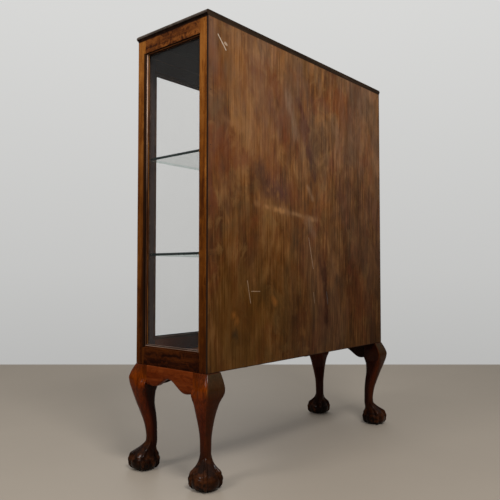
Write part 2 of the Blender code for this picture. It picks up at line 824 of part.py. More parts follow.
def leg_ring(z, outer, inner, half_width, squareness):
    """A rounded square whose corners lie on the diagonal and across it, flat where the aprons meet it."""
    centre, half_length = (outer + inner) / 2, (outer - inner) / 2
    corner = sqrt(2) * 2 ** (-1 / squareness)
    ring = []
    for i in range(LEG_POINTS):
        angle = 2 * pi * i / LEG_POINTS
        c, s = cos(angle), sin(angle)
        reach = (abs(c) ** squareness + abs(s) ** squareness) ** (-1 / squareness)
        x, y = reach * c / corner, reach * s / corner
        along, across = (x + y) / sqrt(2), (y - x) / sqrt(2)
        u, v = centre + half_length * along, half_width * across
        x, y = (u - v) / sqrt(2), (u + v) / sqrt(2)
        ring.append(Vector((max(x, -LEG_BLOCK), max(y, -LEG_BLOCK), z)))
    return ring


def toe(index):
    """One claw: rings along a path that runs down over the ball."""
    angle = pi / 4 + index * pi / 2
    out = Vector((cos(angle), sin(angle), 0))
    across = Vector((-sin(angle), cos(angle), 0))
    foot = FOOT_CENTRE / sqrt(2) * Vector((1, 1, 0))
    points = [foot + reach * out + Vector((0, 0, z)) for reach, z, _ in TOE_PATH]
    rings = []
    for i, (_, _, radius) in enumerate(TOE_PATH):
        before, after = points[max(i - 1, 0)], points[min(i + 1, len(points) - 1)]
        normal = across.cross((after - before).normalized())
        ring = []
        for j in range(TOE_POINTS):
            around = 2 * pi * j / TOE_POINTS
            ring.append(points[i] + radius * (cos(around) * across + sin(around) * normal))
        rings.append(ring)
    return loft(f"toe_{index}", rings)


def ball():
    """The turned ball under the claws, its profile run down the axis."""
    bm = bmesh.new()
    points = [bm.verts.new((radius, 0, z)) for radius, z in BALL_PROFILE]
    for point, after in zip(points, points[1:]):
        bm.edges.new((point, after))
    made = mesh_object("ball", bm, FOOT_CENTRE / sqrt(2) * Vector((1, 1, 0)))
    turned = made.modifiers.new("turned", "SCREW")
    turned.steps = BALL_POINTS
    turned.render_steps = BALL_POINTS
    turned.use_merge_vertices = True
    turned.merge_threshold = SCREW_MERGE
    return made


def build_legs():
    """One leg for the back right corner, turned by quarters for the others."""
    shaft = loft("leg_shaft", [leg_ring(*section) for section in LEG_SECTIONS])
    parts = [shaft, ball(), *(toe(index) for index in range(4))]
    pattern = joined("leg_pattern", parts)
    corners = {
        "back_right": (1, 1, 0.0),
        "back_left": (-1, 1, pi / 2),
        "front_left": (-1, -1, pi),
        "front_right": (1, -1, -pi / 2),
    }
    for name, (x, y, turn) in corners.items():
        leg = bpy.data.objects.new(f"leg_{name}", pattern.data.copy())
        leg.location = (x * HALF_WIDTH, y * HALF_DEPTH, 0)
        leg.rotation_euler = (0, 0, turn)
        cabinet.objects.link(leg)
        wood(leg, MAHOGANY)
    bpy.data.objects.remove(pattern, do_unlink=True)


empty_scene()
cabinet = new_collection("china_cabinet")
cutters = new_collection("cutters")
cutters.hide_render = True

build_carcase()
build_shelves()
left_stile, left_axis = build_door("left", -1)
right_stile, right_axis = build_door("right", 1)
build_lock(right_stile, right_axis)
build_sliding_bolt("top", 1, DOOR_HIGH, left_stile, left_axis)
build_sliding_bolt("bottom", -1, DOOR_LOW, left_stile, left_axis)
build_aprons()
build_legs()
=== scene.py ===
"""The looks of the china cabinet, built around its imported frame. Metres, front towards -Y."""

from math import cos, exp, pi, radians, sin, sqrt

import bmesh
import bpy
from mathutils import Matrix, Vector


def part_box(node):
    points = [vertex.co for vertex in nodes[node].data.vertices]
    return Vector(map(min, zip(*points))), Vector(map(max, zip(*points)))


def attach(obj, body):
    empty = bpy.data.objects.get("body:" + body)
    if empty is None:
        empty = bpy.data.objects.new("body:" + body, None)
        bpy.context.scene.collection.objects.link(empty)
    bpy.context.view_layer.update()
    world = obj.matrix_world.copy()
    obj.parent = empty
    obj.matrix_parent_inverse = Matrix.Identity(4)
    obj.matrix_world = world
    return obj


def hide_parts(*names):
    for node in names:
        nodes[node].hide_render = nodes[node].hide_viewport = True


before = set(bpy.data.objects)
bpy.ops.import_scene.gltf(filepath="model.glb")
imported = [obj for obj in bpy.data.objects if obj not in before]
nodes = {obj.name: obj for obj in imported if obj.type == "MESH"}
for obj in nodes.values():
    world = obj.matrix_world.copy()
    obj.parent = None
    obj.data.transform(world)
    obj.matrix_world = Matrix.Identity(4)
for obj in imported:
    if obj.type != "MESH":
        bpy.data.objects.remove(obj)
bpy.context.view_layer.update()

# -------- places taken from the frame
HALF_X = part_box("post_back_right")[1].x
HALF_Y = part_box("back_panel")[1].y
LEG_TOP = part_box("leg_back_right")[1].z
LEG_BLOCK = 0.0505  # side of the square at the head of a leg


# -------- meshes
def add_object(name, data, materials=()):
    made = bpy.data.objects.new(name, data)
    bpy.context.scene.collection.objects.link(made)
    for material in materials:
        data.materials.append(material)
    return made


def mesh_of(name, bm):
    """Turns bm into a mesh, its faces all turned outwards."""
    bmesh.ops.recalc_face_normals(bm, faces=bm.faces)
    mesh = bpy.data.meshes.new(name)
    bm.to_mesh(mesh)
    bm.free()
    return mesh


def modified(held, *spare):
    """A mesh with an object's modifiers worked in; the object and any spare ones are taken away."""
    graph = bpy.context.evaluated_depsgraph_get()
    made = bpy.data.meshes.new_from_object(held.evaluated_get(graph))
    for used in (held, *spare):
        mesh = used.data
        bpy.data.objects.remove(used)
        bpy.data.meshes.remove(mesh)
    return made


def finished(name, bm, materials, body, smooth, replaces=()):
    """Turns bm into a visible piece that rides on a body; smooth is in degrees."""
    mesh = mesh_of(name, bm)
    made = add_object(name, mesh, materials)
    mesh.shade_smooth()
    mesh.set_sharp_from_angle(angle=radians(smooth))
    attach(made, body)
    if replaces:
        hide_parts(*replaces)


def angles(count):
    """Evenly spaced angles round a whole turn."""
    return [2 * pi * i / count for i in range(count)]


def loft(bm, rings, closed_loop=False):
    """Faces between successive rings of points, each ring a closed loop."""
    rows = [[bm.verts.new(p) for p in ring] for ring in rings]
    pairs = list(zip(rows, rows[1:]))
    if closed_loop:
        pairs.append((rows[-1], rows[0]))
    for low, high in pairs:
        for i in range(len(low)):
            j = (i + 1) % len(low)
            bm.faces.new((low[i], low[j], high[j], high[i]))
    if not closed_loop:
        bm.faces.new(rows[0])
        bm.faces.new(rows[-1])


def add_box(bm, low, high, bevel=0.0):
    """A box with rounded arrises."""
    low, high = Vector(low), Vector(high)
    grown = bmesh.ops.create_cube(bm, size=1.0)["verts"]
    for v in grown:
        v.co = Vector(low[i] + (v.co[i] + 0.5) * (high[i] - low[i]) for i in range(3))
    if bevel:
        edges = {e for v in grown for e in v.link_edges}
        bmesh.ops.bevel(bm, geom=list(edges), offset=bevel, segments=3, profile=0.5, affect="EDGES")


def add_turned(bm, profile, place, sides=24):
    """A turned shape: (radius, height) pairs round local Z, set down by a matrix."""
    rings = []
    for radius, height in profile:
        points = [(radius * cos(a), radius * sin(a), height) for a in angles(sides)]
        rings.append([place @ Vector(point) for point in points])
    loft(bm, rings)


def catmull_rom(a, b, c, d, t):
    """The value a share t of the way from b to c, on a smooth curve through all four."""
    square = (2 * a - 5 * b + 4 * c - d) * t * t
    cube = (3 * b - a - 3 * c + d) * t**3
    return 0.5 * (2 * b + (c - a) * t + square + cube)


def smooth_table(rows, steps):
    """Catmull-Rom interpolation of a table whose columns all vary smoothly."""
    made = []
    for i in range(len(rows) - 1):
        before, start = rows[max(i - 1, 0)], rows[i]
        end, after = rows[i + 1], rows[min(i + 2, len(rows) - 1)]
        for k in range(steps):
            columns = zip(before, start, end, after)
            made.append(tuple(catmull_rom(*column, k / steps) for column in columns))
    made.append(tuple(rows[-1]))
    return made


def remeshed(bm, voxel, passes):
    """The outer skin of overlapping closed shapes, as one smooth mesh."""
    rough = add_object("rough", mesh_of("rough", bm))
    skin = rough.modifiers.new("skin", "REMESH")
    skin.mode = "VOXEL"
    skin.voxel_size = voxel
    soft = rough.modifiers.new("soft", "SMOOTH")
    soft.factor = 0.5
    soft.iterations = passes
    return modified(rough)


# -------- shader helpers
class Tree:
    """The emptied node tree of a material or a world, with short ways to add to it."""

    def __init__(self, owner):
        owner.use_nodes = True
        self.owner = owner
        self.tree = owner.node_tree
        self.tree.nodes.clear()

    def put(self, kind, inputs=None, **settings):
        made = self.tree.nodes.new("ShaderNode" + kind)
        for key, value in settings.items():
            setattr(made, key, value)
        for key, value in (inputs or {}).items():
            if isinstance(value, bpy.types.NodeSocket):
                self.tree.links.new(value, made.inputs[key])
            else:
                made.inputs[key].default_value = value
        return made

    def value(self, kind, inputs=None, **settings):
        return self.put(kind, inputs, **settings).outputs[0]

    def ramp(self, value, stops):
        """A colour ramp through (position, colour) stops."""
        made = self.put("ValToRGB", {0: value})
        elements = made.color_ramp.elements
        while len(elements) < len(stops):
            elements.new(0.5)
        for element, (position, colour) in zip(elements, stops):
            element.position = position
            element.color = (*colour, 1.0)
        return made.outputs[0]

    def closed(self, shader, output="OutputMaterial"):
        """The material or world, with a shader on its output."""
        self.put(output, {"Surface": shader})
        return self.owner


class Shader(Tree):
    """A material's node tree, with the object's own axes and the usual sums."""

    def __init__(self, name):
        super().__init__(bpy.data.materials.new(name))
        place = self.put("TexCoord").outputs
        self.where = place["Object"]
        self.normal = self.put("SeparateXYZ", {0: place["Normal"]}).outputs
        self.parts = self.put("SeparateXYZ", {0: self.where}).outputs

    def axis(self, index):
        return self.parts[index]

    def math(self, operation, a, b=0.0, clamp=False):
        return self.value("Math", {0: a, 1: b}, operation=operation, use_clamp=clamp)

    def times(self, first, *others):
        for other in others:
            first = self.math("MULTIPLY", first, other)
        return first

    def plus(self, first, *others):
        for other in others:
            first = self.math("ADD", first, other)
        return first

    def less(self, a, b):
        return self.math("SUBTRACT", a, b)

    def weighted(self, *pairs):
        """The sum of values, each times its share."""
        return self.plus(*[self.times(value, share) for value, share in pairs])

    def scaled(self, x, y, z, shift=(0, 0, 0)):
        return self.value("Mapping", {"Vector": self.where, "Scale": (x, y, z), "Location": shift})

    def noise(self, vector, scale, detail=2.0, rough=0.5, warp=0.0):
        place = {"Vector": vector, "Scale": scale}
        return self.value("TexNoise", {**place, "Detail": detail, "Roughness": rough, "Distortion": warp})

    def drawn(self, up, shift, *look):
        """Noise drawn out along Z: its scale there, where it is moved to, then as for noise."""
        return self.noise(self.scaled(1, 1, up, shift), *look)

    def span(self, value, low, high, to_low=0.0, to_high=1.0):
        """Value remapped from low-high, held at the ends."""
        return self.value("MapRange", {0: value, 1: low, 2: high, 3: to_low, 4: to_high}, clamp=True)

    def mix(self, share, a, b, blend="MIX"):
        made = self.tree.nodes.new("ShaderNodeMix")
        made.data_type = "RGBA"
        made.blend_type = blend
        for index, value in ((0, share), (6, a), (7, b)):
            if isinstance(value, bpy.types.NodeSocket):
                self.tree.links.new(value, made.inputs[index])
            elif index == 0:
                made.inputs[index].default_value = value
            else:
                made.inputs[index].default_value = (*value, 1.0)
        return made.outputs[2]

    def grey(self, value):
        return self.value("CombineColor", {0: value, 1: value, 2: value})

    def worn(self, radius, low, high):
        """High at arrises, from how far a softened normal leans off the true one."""
        soft = self.value("Bevel", {"Radius": radius}, samples=4)
        true = self.put("NewGeometry").outputs["Normal"]
        lean = self.put("VectorMath", {0: soft, 1: true}, operation="DOT_PRODUCT")
        return self.span(lean.outputs["Value"], high, low)

    def surface(self, colour, roughness, height=None, depth=0.0002, **plain):
        """Principled output; plain values go on the shader's own sockets."""
        shader = self.put("BsdfPrincipled", {"Base Color": colour, "Roughness": roughness})
        for key, value in plain.items():
            shader.inputs[key.replace("_", " ").title().replace("Ior", "IOR")].default_value = value
        if height is not None:
            bump = self.put("Bump", {"Height": height, "Strength": 0.6, "Distance": depth})
            self.tree.links.new(bump.outputs[0], shader.inputs["Normal"])
        return self.closed(shader.outputs[0])


# -------- materials
GRAIN = {"X": (0.06, 1, 1), "Y": (1, 0.06, 1), "Z": (1, 1, 0.06)}  # how far the pattern is drawn out
INSIDE_TONES = ((0.06, 0.042, 0.038), (0.11, 0.078, 0.072))  # darker, greyer tones on the faces turned into the case
LOW_TONES = ((0.11, 0.04, 0.022), (0.2, 0.076, 0.044))  # the same, redder and lighter, low in the case
APRON_BACK_SHADE = ((0.007, 0.003, 0.0015), (0.02, 0.008, 0.003))  # painted shade on the backs of the aprons, turned in under the case
TOP_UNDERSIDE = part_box("top_board")[0].z
OVERHANG_SHADOW = (0.0048, 0.0032)  # how far the painted shadow under the top's overhang reaches below the top, in all and at full strength


def wood(
    name, tones, along, figure=0.0, gloss=0.42, shift=0.0, low_shade=0.55, wear=0.5, spread=0.14,
    inner=None, inner_tones=INSIDE_TONES, shadow_line=None, shade_heights=(0.3, 1.15),
):
    """Polished timber: dark, middle and light tones, the axis its grain follows, and how much it swirls.

    inner is the axis and sign of the faces that take inner_tones; shadow_line is a painted shadow line
    beside an edge:
    the edge along Y, how wide it is, and the heights it runs between; shade_heights is the heights between
    which
    the tone climbs from low_shade to full: painted shade, darker lower down as light falls from above, and
    partly a finish darker near the floor.
    """
    s = Shader(name)
    dark, middle, light = tones
    moved = (shift, shift * 1.7, shift * 0.6)
    stretch = GRAIN[along]
    board = s.scaled(*stretch, moved)
    swirl = s.drawn(1, moved, 26, 2, 0.5, 1.4)
    push = s.times(swirl, figure * 0.05)
    push = s.value("CombineXYZ", {0: push, 1: push, 2: push})
    bands = s.noise(s.value("VectorMath", {0: board, 1: push}, operation="ADD"), 42, 3, 0.6, 0.4)
    fibre = s.noise(s.scaled(*(v if v == 1 else 0.02 for v in stretch), moved), 620, 2, 0.6)
    cloud = s.drawn(1, moved, 9, 3, 0.6)
    tone = s.weighted((bands, 0.62), (fibre, 0.2), (cloud, 0.3))
    colour = s.ramp(tone, ((0.555 - spread, dark), (0.555, middle), (0.555 + spread, light)))
    long_pores = s.scaled(*(v if v == 1 else 0.035 for v in stretch), moved)
    pores = s.span(s.noise(long_pores, 1500, 1, 0.5), 0.6, 0.72)
    colour = s.mix(s.times(pores, 0.55), colour, tuple(v * 0.35 for v in dark))
    # painted shade: the tone darker lower down, mostly for light falling from above, partly a finish darker
    # near the floor
    low = s.span(s.axis(2), *shade_heights)
    deep = (low_shade, low_shade ** 1.25, low_shade ** 1.45)
    colour = s.mix(1.0, colour, s.mix(low, deep, (1.0, 1.0, 1.0)), "MULTIPLY")
    edge = s.times(s.worn(0.0018, 0.9, 0.995), s.span(cloud, 0.42, 0.62))
    rubbed = tuple(min(1, v * 1.5) for v in light)
    # rubbed edges dimmed lower down by the same painted shade
    lit = s.span(low, 0, 1, low_shade, 1.0)
    colour = s.mix(s.times(edge, lit, wear), colour, rubbed)
    # painted shadow under the overhang of the top, on everything just below it
    overhang_shade = s.span(s.axis(2), TOP_UNDERSIDE - OVERHANG_SHADOW[0], TOP_UNDERSIDE - OVERHANG_SHADOW[1], 0.0, 0.92)
    overhang_shade = s.times(overhang_shade, s.span(s.axis(2), TOP_UNDERSIDE + 0.0004, TOP_UNDERSIDE))
    colour = s.mix(overhang_shade, colour, (0.006, 0.002, 0.001))
    # painted shadow line: a dark band beside an edge along Y, between two heights
    if shadow_line is not None:
        place, width, bottom, top = shadow_line
        across = s.span(s.axis(1), place - width, place - width * 0.75)
        above = s.span(s.axis(2), bottom - 0.001, bottom)
        below = s.span(s.axis(2), top + 0.001, top)
        colour = s.mix(s.times(across, above, below, 0.93), colour, (0.014, 0.005, 0.002))
    if inner is not None:
        axis, sign = inner
        share = s.span(s.normal[axis], sign * 0.15, sign * 0.5, 0.0, 0.95)
        colour = s.mix(share, colour, s.mix(fibre, *inner_tones))
    rough = s.plus(s.times(cloud, 0.3), gloss - 0.15)
    height = s.less(s.times(fibre, 0.5), s.times(pores, 0.5))
    return s.surface(colour, rough, height, specular_ior_level=0.05)


BACK_MARKS = (  # X and Z of both ends, half width, share of it that is soft, colour, strength
    (0.4295, 1.217, 0.4137, 1.1997, 0.002, 0.6, (0.7, 0.56, 0.42), 0.95),
    (0.4137, 1.1997, 0.3977, 1.182, 0.0024, 0.6, (0.7, 0.56, 0.42), 0.95),
    (0.401, 1.2, 0.395, 1.1975, 0.005, 0.5, (0.62, 0.44, 0.3), 0.85),
    (0.308, 0.546, 0.2936, 0.482, 0.0016, 0.7, (0.6, 0.4, 0.25), 0.85),
    (0.291, 0.516, 0.252, 0.515, 0.0014, 0.7, (0.6, 0.4, 0.25), 0.85),
    (0.007, 0.681, -0.018, 0.582, 0.0016, 0.7, (0.62, 0.42, 0.28), 0.8),
    (-0.019, 0.505, -0.025, 0.47, 0.0016, 0.7, (0.5, 0.34, 0.22), 0.7),
    (-0.095, 0.505, -0.102, 0.464, 0.002, 0.7, (0.46, 0.42, 0.4), 0.8),
    (0.27, 0.77, 0.16, 0.759, 0.013, 0.9, (0.38, 0.175, 0.065), 0.4),
    (0.16, 0.759, -0.04, 0.742, 0.015, 0.9, (0.38, 0.19, 0.085), 0.42),
    (0.01, 0.735, -0.02, 0.695, 0.024, 0.9, (0.34, 0.205, 0.12), 0.4),
    (0.225, 0.764, 0.215, 0.762, 0.007, 0.8, (0.48, 0.22, 0.08), 0.7),
    (0.18, 0.76, 0.14, 0.756, 0.01, 0.8, (0.56, 0.26, 0.085), 0.8),
    (0.09, 0.754, 0.05, 0.749, 0.008, 0.9, (0.46, 0.23, 0.095), 0.65),
    (0.0, 0.748, -0.015, 0.74, 0.009, 0.9, (0.46, 0.23, 0.095), 0.6),
    (0.01, 0.845, -0.015, 0.81, 0.013, 0.9, (0.36, 0.2, 0.1), 0.6),
    (0.195, 0.83, 0.15, 0.812, 0.055, 0.75, (0.085, 0.023, 0.018), 0.8),
    (0.245, 0.87, 0.22, 0.81, 0.045, 0.75, (0.08, 0.024, 0.011), 0.7),
    (0.009, 0.967, -0.03, 0.874, 0.018, 0.75, (0.06, 0.015, 0.008), 0.8),
    (0.063, 1.118, 0.009, 1.032, 0.016, 0.75, (0.095, 0.022, 0.011), 0.8),
    (0.04, 1.05, 0.0, 0.95, 0.026, 0.75, (0.095, 0.025, 0.012), 0.75),
    (0.19, 1.05, 0.15, 0.98, 0.026, 0.9, (0.11, 0.03, 0.014), 0.6),
    (0.42, 1.07, 0.39, 0.99, 0.02, 0.9, (0.105, 0.036, 0.014), 0.55),
    (-0.086, 0.6, -0.096, 0.41, 0.02, 0.7, (0.06, 0.016, 0.007), 0.75),
    (-0.3, 0.86, -0.32, 0.62, 0.04, 0.9, (0.07, 0.026, 0.012), 0.5),
    (0.1, 0.56, 0.08, 0.42, 0.03, 0.9, (0.07, 0.028, 0.011), 0.5),
    (0.12, 1.12, 0.07, 1.0, 0.024, 0.9, (0.27, 0.16, 0.09), 0.5),
    (-0.15, 1.1, -0.17, 0.95, 0.03, 0.9, (0.3, 0.16, 0.08), 0.45),
    (0.362, 0.45, 0.356, 0.438, 0.018, 0.9, (0.42, 0.15, 0.026), 0.65),
    (0.19, 0.492, 0.184, 0.48, 0.016, 0.9, (0.4, 0.145, 0.028), 0.6),
    (0.358, 0.398, 0.348, 0.388, 0.02, 0.9, (0.045, 0.03, 0.014), 0.75),
    (-0.05, 0.62, -0.09, 0.5, 0.018, 0.9, (0.05, 0.018, 0.01), 0.55),
    (0.4, 0.99, 0.33, 0.975, 0.016, 0.9, (0.32, 0.14, 0.055), 0.4),
    (-0.2, 1.03, -0.34, 0.94, 0.05, 0.9, (0.26, 0.13, 0.06), 0.35),
    (-0.055, 0.315, -0.053, 1.25, 0.001, 0.7, (0.045, 0.018, 0.008), 0.45),
)


def back_ply():
    """The unpolished back: nested arches of figure, streaks, stains, dust and scratches."""
    s = Shader("back_ply")
    x, z = s.axis(0), s.axis(2)
    drift = s.drawn(0.3, (0.3, 0, 0.1), 4.2, 3, 0.5, 0.4)
    off = s.less(x, 0.24)
    arch = s.times(s.times(off, off), 4.2)
    arch = s.less(arch, s.times(z, 0.16))
    arch = s.plus(arch, s.times(drift, 0.62))
    rings = s.span(s.math("SINE", s.times(arch, 88)), -1, 1)
    streak = s.drawn(0.025, (0, 0, 0), 130, 3, 0.6)
    fine = s.drawn(0.02, (0, 0, 0), 420, 2, 0.6)
    broad = s.drawn(0.3, (7, 0, 3), 7.5, 4, 0.65, 1.2)
    mottle = s.drawn(0.55, (4, 0, 6), 12, 6, 0.64, 0.8)
    tone = s.weighted((rings, 0.05), (streak, 0.16), (fine, 0.32), (broad, 0.27), (mottle, 0.26))
    dark, middle, light = (0.078, 0.025, 0.006), (0.198, 0.069, 0.014), (0.345, 0.152, 0.046)
    colour = s.ramp(tone, ((0.445, dark), (0.525, middle), (0.605, light)))
    stain = s.drawn(0.55, (0, 0, 0), 7.5, 4, 0.62, 0.7)
    colour = s.mix(s.span(stain, 0.5, 0.6, 0.0, 0.6), colour, (0.078, 0.022, 0.007))
    worn = s.drawn(0.7, (11, 0, 4), 13, 5, 0.7, 0.9)
    colour = s.mix(s.span(worn, 0.54, 0.66, 0.0, 0.6), colour, (0.31, 0.15, 0.048))
    hue = s.drawn(0.6, (1, 0, 15), 8, 4, 0.65, 0.8)
    colour = s.mix(s.span(hue, 0.5, 0.62, 0.0, 0.6), colour, (0.19, 0.045, 0.012))
    colour = s.mix(s.span(hue, 0.48, 0.36, 0.0, 0.45), colour, (0.14, 0.076, 0.026))
    warm = s.drawn(0.8, (5, 0, 2), 6, 3, 0.55, 0.5)
    colour = s.mix(s.span(warm, 0.52, 0.7, 0.0, 0.45), colour, (0.3, 0.105, 0.02))
    patches = s.drawn(0.5, (9, 0, 1), 5, 4, 0.6, 0.6)
    cool = s.times(s.span(x, 0.16, -0.1), s.span(patches, 0.42, 0.58, 0.1, 0.55))
    colour = s.mix(cool, colour, (0.165, 0.085, 0.046))
    olive = s.times(s.span(x, 0.0, 0.25), s.span(z, 0.8, 0.45))
    olive = s.times(olive, s.span(patches, 0.56, 0.44, 0.15, 0.6))
    colour = s.mix(olive, colour, (0.135, 0.058, 0.006))
    for *ends, width, soft, tint, strength in BACK_MARKS:
        mark = stroke(s, *ends, width, soft)
        colour = s.mix(s.times(mark, strength), colour, tint)
    dust = s.drawn(0.35, (2, 0, 9), 10, 4, 0.7)
    share = s.times(s.span(dust, 0.35, 0.7), s.span(z, 0.5, 1.2, 0.02, 0.5))
    colour = s.mix(share, colour, (0.23, 0.155, 0.11))
    low = s.span(z, 0.95, 0.32)
    across = s.times(s.span(x, 0.15, -0.45), s.less(s.times(low, 0.52), 0.08))
    down = s.less(1.0, s.times(low, 0.42))
    shade = s.times(s.less(1.0, across), down)
    grain = s.drawn(0.045, (6, 0, 8), 150, 4, 0.7)
    clouds = s.drawn(0.4, (8, 0, 8), 17, 5, 0.68, 0.8)
    rich = s.span(s.plus(grain, clouds), 0.84, 1.16, -1.0, 1.0)
    rich = s.times(rich, s.span(x, 0.42, -0.1, 0.1, 0.3))
    shade = s.times(shade, s.plus(rich, 1.0))
    colour = s.mix(1.0, colour, s.grey(shade), "MULTIPLY")
    border = s.times(rim(s, 0, HALF_X - 0.001, 0.0022), rim(s, 2, None, 0.003))
    colour = s.mix(border, (0.02, 0.01, 0.006), colour)
    inside = s.span(s.axis(1), HALF_Y - 0.003, HALF_Y - 0.0045)
    colour = s.mix(inside, colour, (0.03, 0.014, 0.008))
    rough = s.span(dust, 0.3, 0.8, 0.42, 0.7)
    height = s.weighted((fine, 0.5), (streak, 0.8))
    return s.surface(colour, rough, height, 0.0004, specular_ior_level=0.08)


def stroke(s, x0, z0, x1, z1, width, soft):
    """1 on a line on the back and 0 away from it, ragged at its edges."""
    dx, dz = x1 - x0, z1 - z0
    long = dx * dx + dz * dz
    px = s.less(s.axis(0), x0)
    pz = s.less(s.axis(2), z0)
    along = s.weighted((px, dx / long), (pz, dz / long))
    along = s.math("ADD", along, 0.0, clamp=True)
    ox = s.less(px, s.times(along, dx))
    oz = s.less(pz, s.times(along, dz))
    far = s.math("SQRT", s.weighted((ox, ox), (oz, oz)))
    ragged = s.drawn(1, (0, 0, 0), 0.35 / width, 3, 0.6)
    far = s.plus(far, s.times(s.less(ragged, 0.5), width * 1.5))
    mark = s.span(far, width, width * (1 - soft))
    if width > 0.005:
        flecks = s.drawn(0.3, (x0, 0, z0), 75, 3, 0.65, 0.5)
        mark = s.times(mark, s.span(flecks, 0.32, 0.5))
    return mark


def rim(s, index, reach, width):
    """1 away from the panel's edges along an axis, 0 at them."""
    if reach is None:
        low, high = (corner.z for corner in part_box("back_panel"))
        bottom = s.span(s.axis(index), low, low + width)
        top = s.span(s.axis(index), high, high - width)
        return s.times(bottom, top)
    return s.span(s.math("ABSOLUTE", s.axis(index)), reach, reach - width)


LEG_TONES = (  # share of the leg's height, colour
    (0.02, (0.005, 0.0022, 0.0012)),
    (0.22, (0.013, 0.0038, 0.0013)),
    (0.34, (0.05, 0.0072, 0.0008)),
    (0.62, (0.084, 0.0105, 0.0008)),
    (0.78, (0.125, 0.018, 0.0008)),
    (0.88, (0.165, 0.0285, 0.0008)),
    (0.98, (0.085, 0.014, 0.0012)),
)


def leg_wood(name, raw_axis=None, shade=0.92):
    """Carved leg: orange at the knee, red-brown shaft, nearly black foot with rubbed high spots."""
    s = Shader(name)
    fibre = s.drawn(0.05, (0, 0, 0), 300, 3, 0.6)
    cloud = s.drawn(0.5, (0, 0, 0), 22, 3, 0.6)
    patch = s.drawn(1, (3, 1, 0), 38, 3, 0.6)
    up = s.plus(s.axis(2), s.times(s.less(cloud, 0.5), 0.05))
    colour = s.ramp(s.span(up, 0.0, 0.3037), LEG_TONES)
    streak = s.span(fibre, 0.32, 0.68, 0.5, 1.4)
    colour = s.mix(1.0, colour, s.grey(streak), "MULTIPLY")
    smoke = s.drawn(0.35, (0, 5, 2), 55, 4, 0.65, 0.6)
    colour = s.mix(s.span(smoke, 0.5, 0.66, 0.0, 0.55), colour, (0.026, 0.006, 0.001))
    low = s.span(s.axis(2), 0.1, 0.02, 0.1, 0.7)
    rub = s.times(s.span(patch, 0.5, 0.64), low)
    colour = s.mix(rub, colour, (0.08, 0.023, 0.006))
    edge = s.times(s.worn(0.002, 0.86, 0.99), s.span(s.axis(2), 0.05, 0.12, 0.08, 0.3))
    colour = s.mix(edge, colour, (0.16, 0.052, 0.014))
    # dirt and painted shade in the hollows, from an ambient-occlusion node
    hollow = s.put("AmbientOcclusion", {"Distance": 0.012}, samples=4).outputs["AO"]
    colour = s.mix(s.span(hollow, 0.35, 0.85, 0.9, 0.0), colour, (0.006, 0.003, 0.002))
    inward = s.plus(s.normal[0], s.normal[1])
    shaded = s.times(s.span(inward, 0.2, -0.8, 0.0, shade), s.span(s.axis(2), 0.03, 0.09))
    colour = s.mix(shaded, colour, (0.011, 0.0018, 0.0006))
    # painted highlight down the outer arris of the shaft
    arris_highlight = s.times(s.span(inward, 1.28, 1.4), s.span(cloud, 0.42, 0.6, 0.1, 0.55))
    arris_highlight = s.times(arris_highlight, s.span(s.axis(2), 0.1, 0.14))
    colour = s.mix(arris_highlight, colour, (0.3, 0.095, 0.014))
    if raw_axis is not None:  # the unpolished face at the back of a rear leg
        bare = s.span(s.normal[raw_axis], 0.55, 0.96)
        below = s.times(bare, s.span(up, 0.1, 0.2, 0.4, 0.85))
        colour = s.mix(below, colour, (0.034, 0.009, 0.002))
        head = s.times(bare, s.span(up, 0.235, 0.3))
        colour = s.mix(head, colour, s.mix(fibre, (0.014, 0.008, 0.003), (0.064, 0.042, 0.019)))
    rough = s.plus(s.times(cloud, 0.3), 0.1)
    height = s.weighted((fibre, 0.4), (patch, 1.4))
    sheen = {"specular_ior_level": 0.03, "coat_weight": 0.13, "coat_roughness": 0.05}
    return s.surface(colour, rough, height, 0.0004, **sheen)


def metal(name, light, dark, gloss):
    """Handled metal: bright where rubbed, brown in the hollows."""
    s = Shader(name)
    cloud = s.noise(s.where, 160, 4, 0.6)
    fine = s.noise(s.where, 1400, 2, 0.6)
    colour = s.mix(s.span(cloud, 0.35, 0.65), dark, light)
    hollow = s.put("AmbientOcclusion", {"Distance": 0.004}, samples=4).outputs["AO"]
    colour = s.mix(s.span(hollow, 0.3, 0.9, 0.8, 0.0), colour, tuple(v * 0.25 for v in dark))
    return s.surface(colour, s.span(cloud, 0.3, 0.7, gloss + 0.15, gloss), fine, 0.00006, metallic=1.0)


def clear(name, tint, haze, most):
    """Glass that lets light straight through, mirrors at a slant and carries a little dust."""
    s = Shader(name)
    through = s.value("BsdfTransparent", {"Color": (*tint, 1.0)})
    mirror = s.value("BsdfGlossy", {"Color": (1, 1, 1, 1), "Roughness": 0.015})
    dust = s.value("BsdfDiffuse", {"Color": (0.55, 0.54, 0.52, 1.0)})
    slant = s.math("POWER", s.put("LayerWeight", {"Blend": 0.5}).outputs["Facing"], 5.0)
    slant = s.span(slant, 0, 1, 0.012, most)
    smear = s.drawn(0.4, (0, 0, 0), 14, 4, 0.65)
    pane = s.value("MixShader", {0: slant, 1: through, 2: mirror})
    veil = s.span(smear, 0.35, 0.75, haze * 0.6, haze)
    return s.closed(s.value("MixShader", {0: veil, 1: pane, 2: dust}))


def green_edge(name, dark, light):
    """A cut edge of the shelves, where the glass is seen end on."""
    s = Shader(name)
    cloud = s.noise(s.where, 60, 3, 0.6)
    colour = s.mix(s.span(cloud, 0.35, 0.65), dark, light)
    return s.surface(colour, s.span(cloud, 0.3, 0.7, 0.12, 0.25), cloud, 0.0001)


def stage_finish(name, colour, variation):
    """A plain floor, faintly clouded."""
    s = Shader(name)
    cloud = s.noise(s.where, 1.5, 4, 0.6)
    darker, lighter = (tuple(v * share for v in colour) for share in (1 - variation, 1 + variation))
    return s.surface(s.mix(cloud, darker, lighter), 0.55)


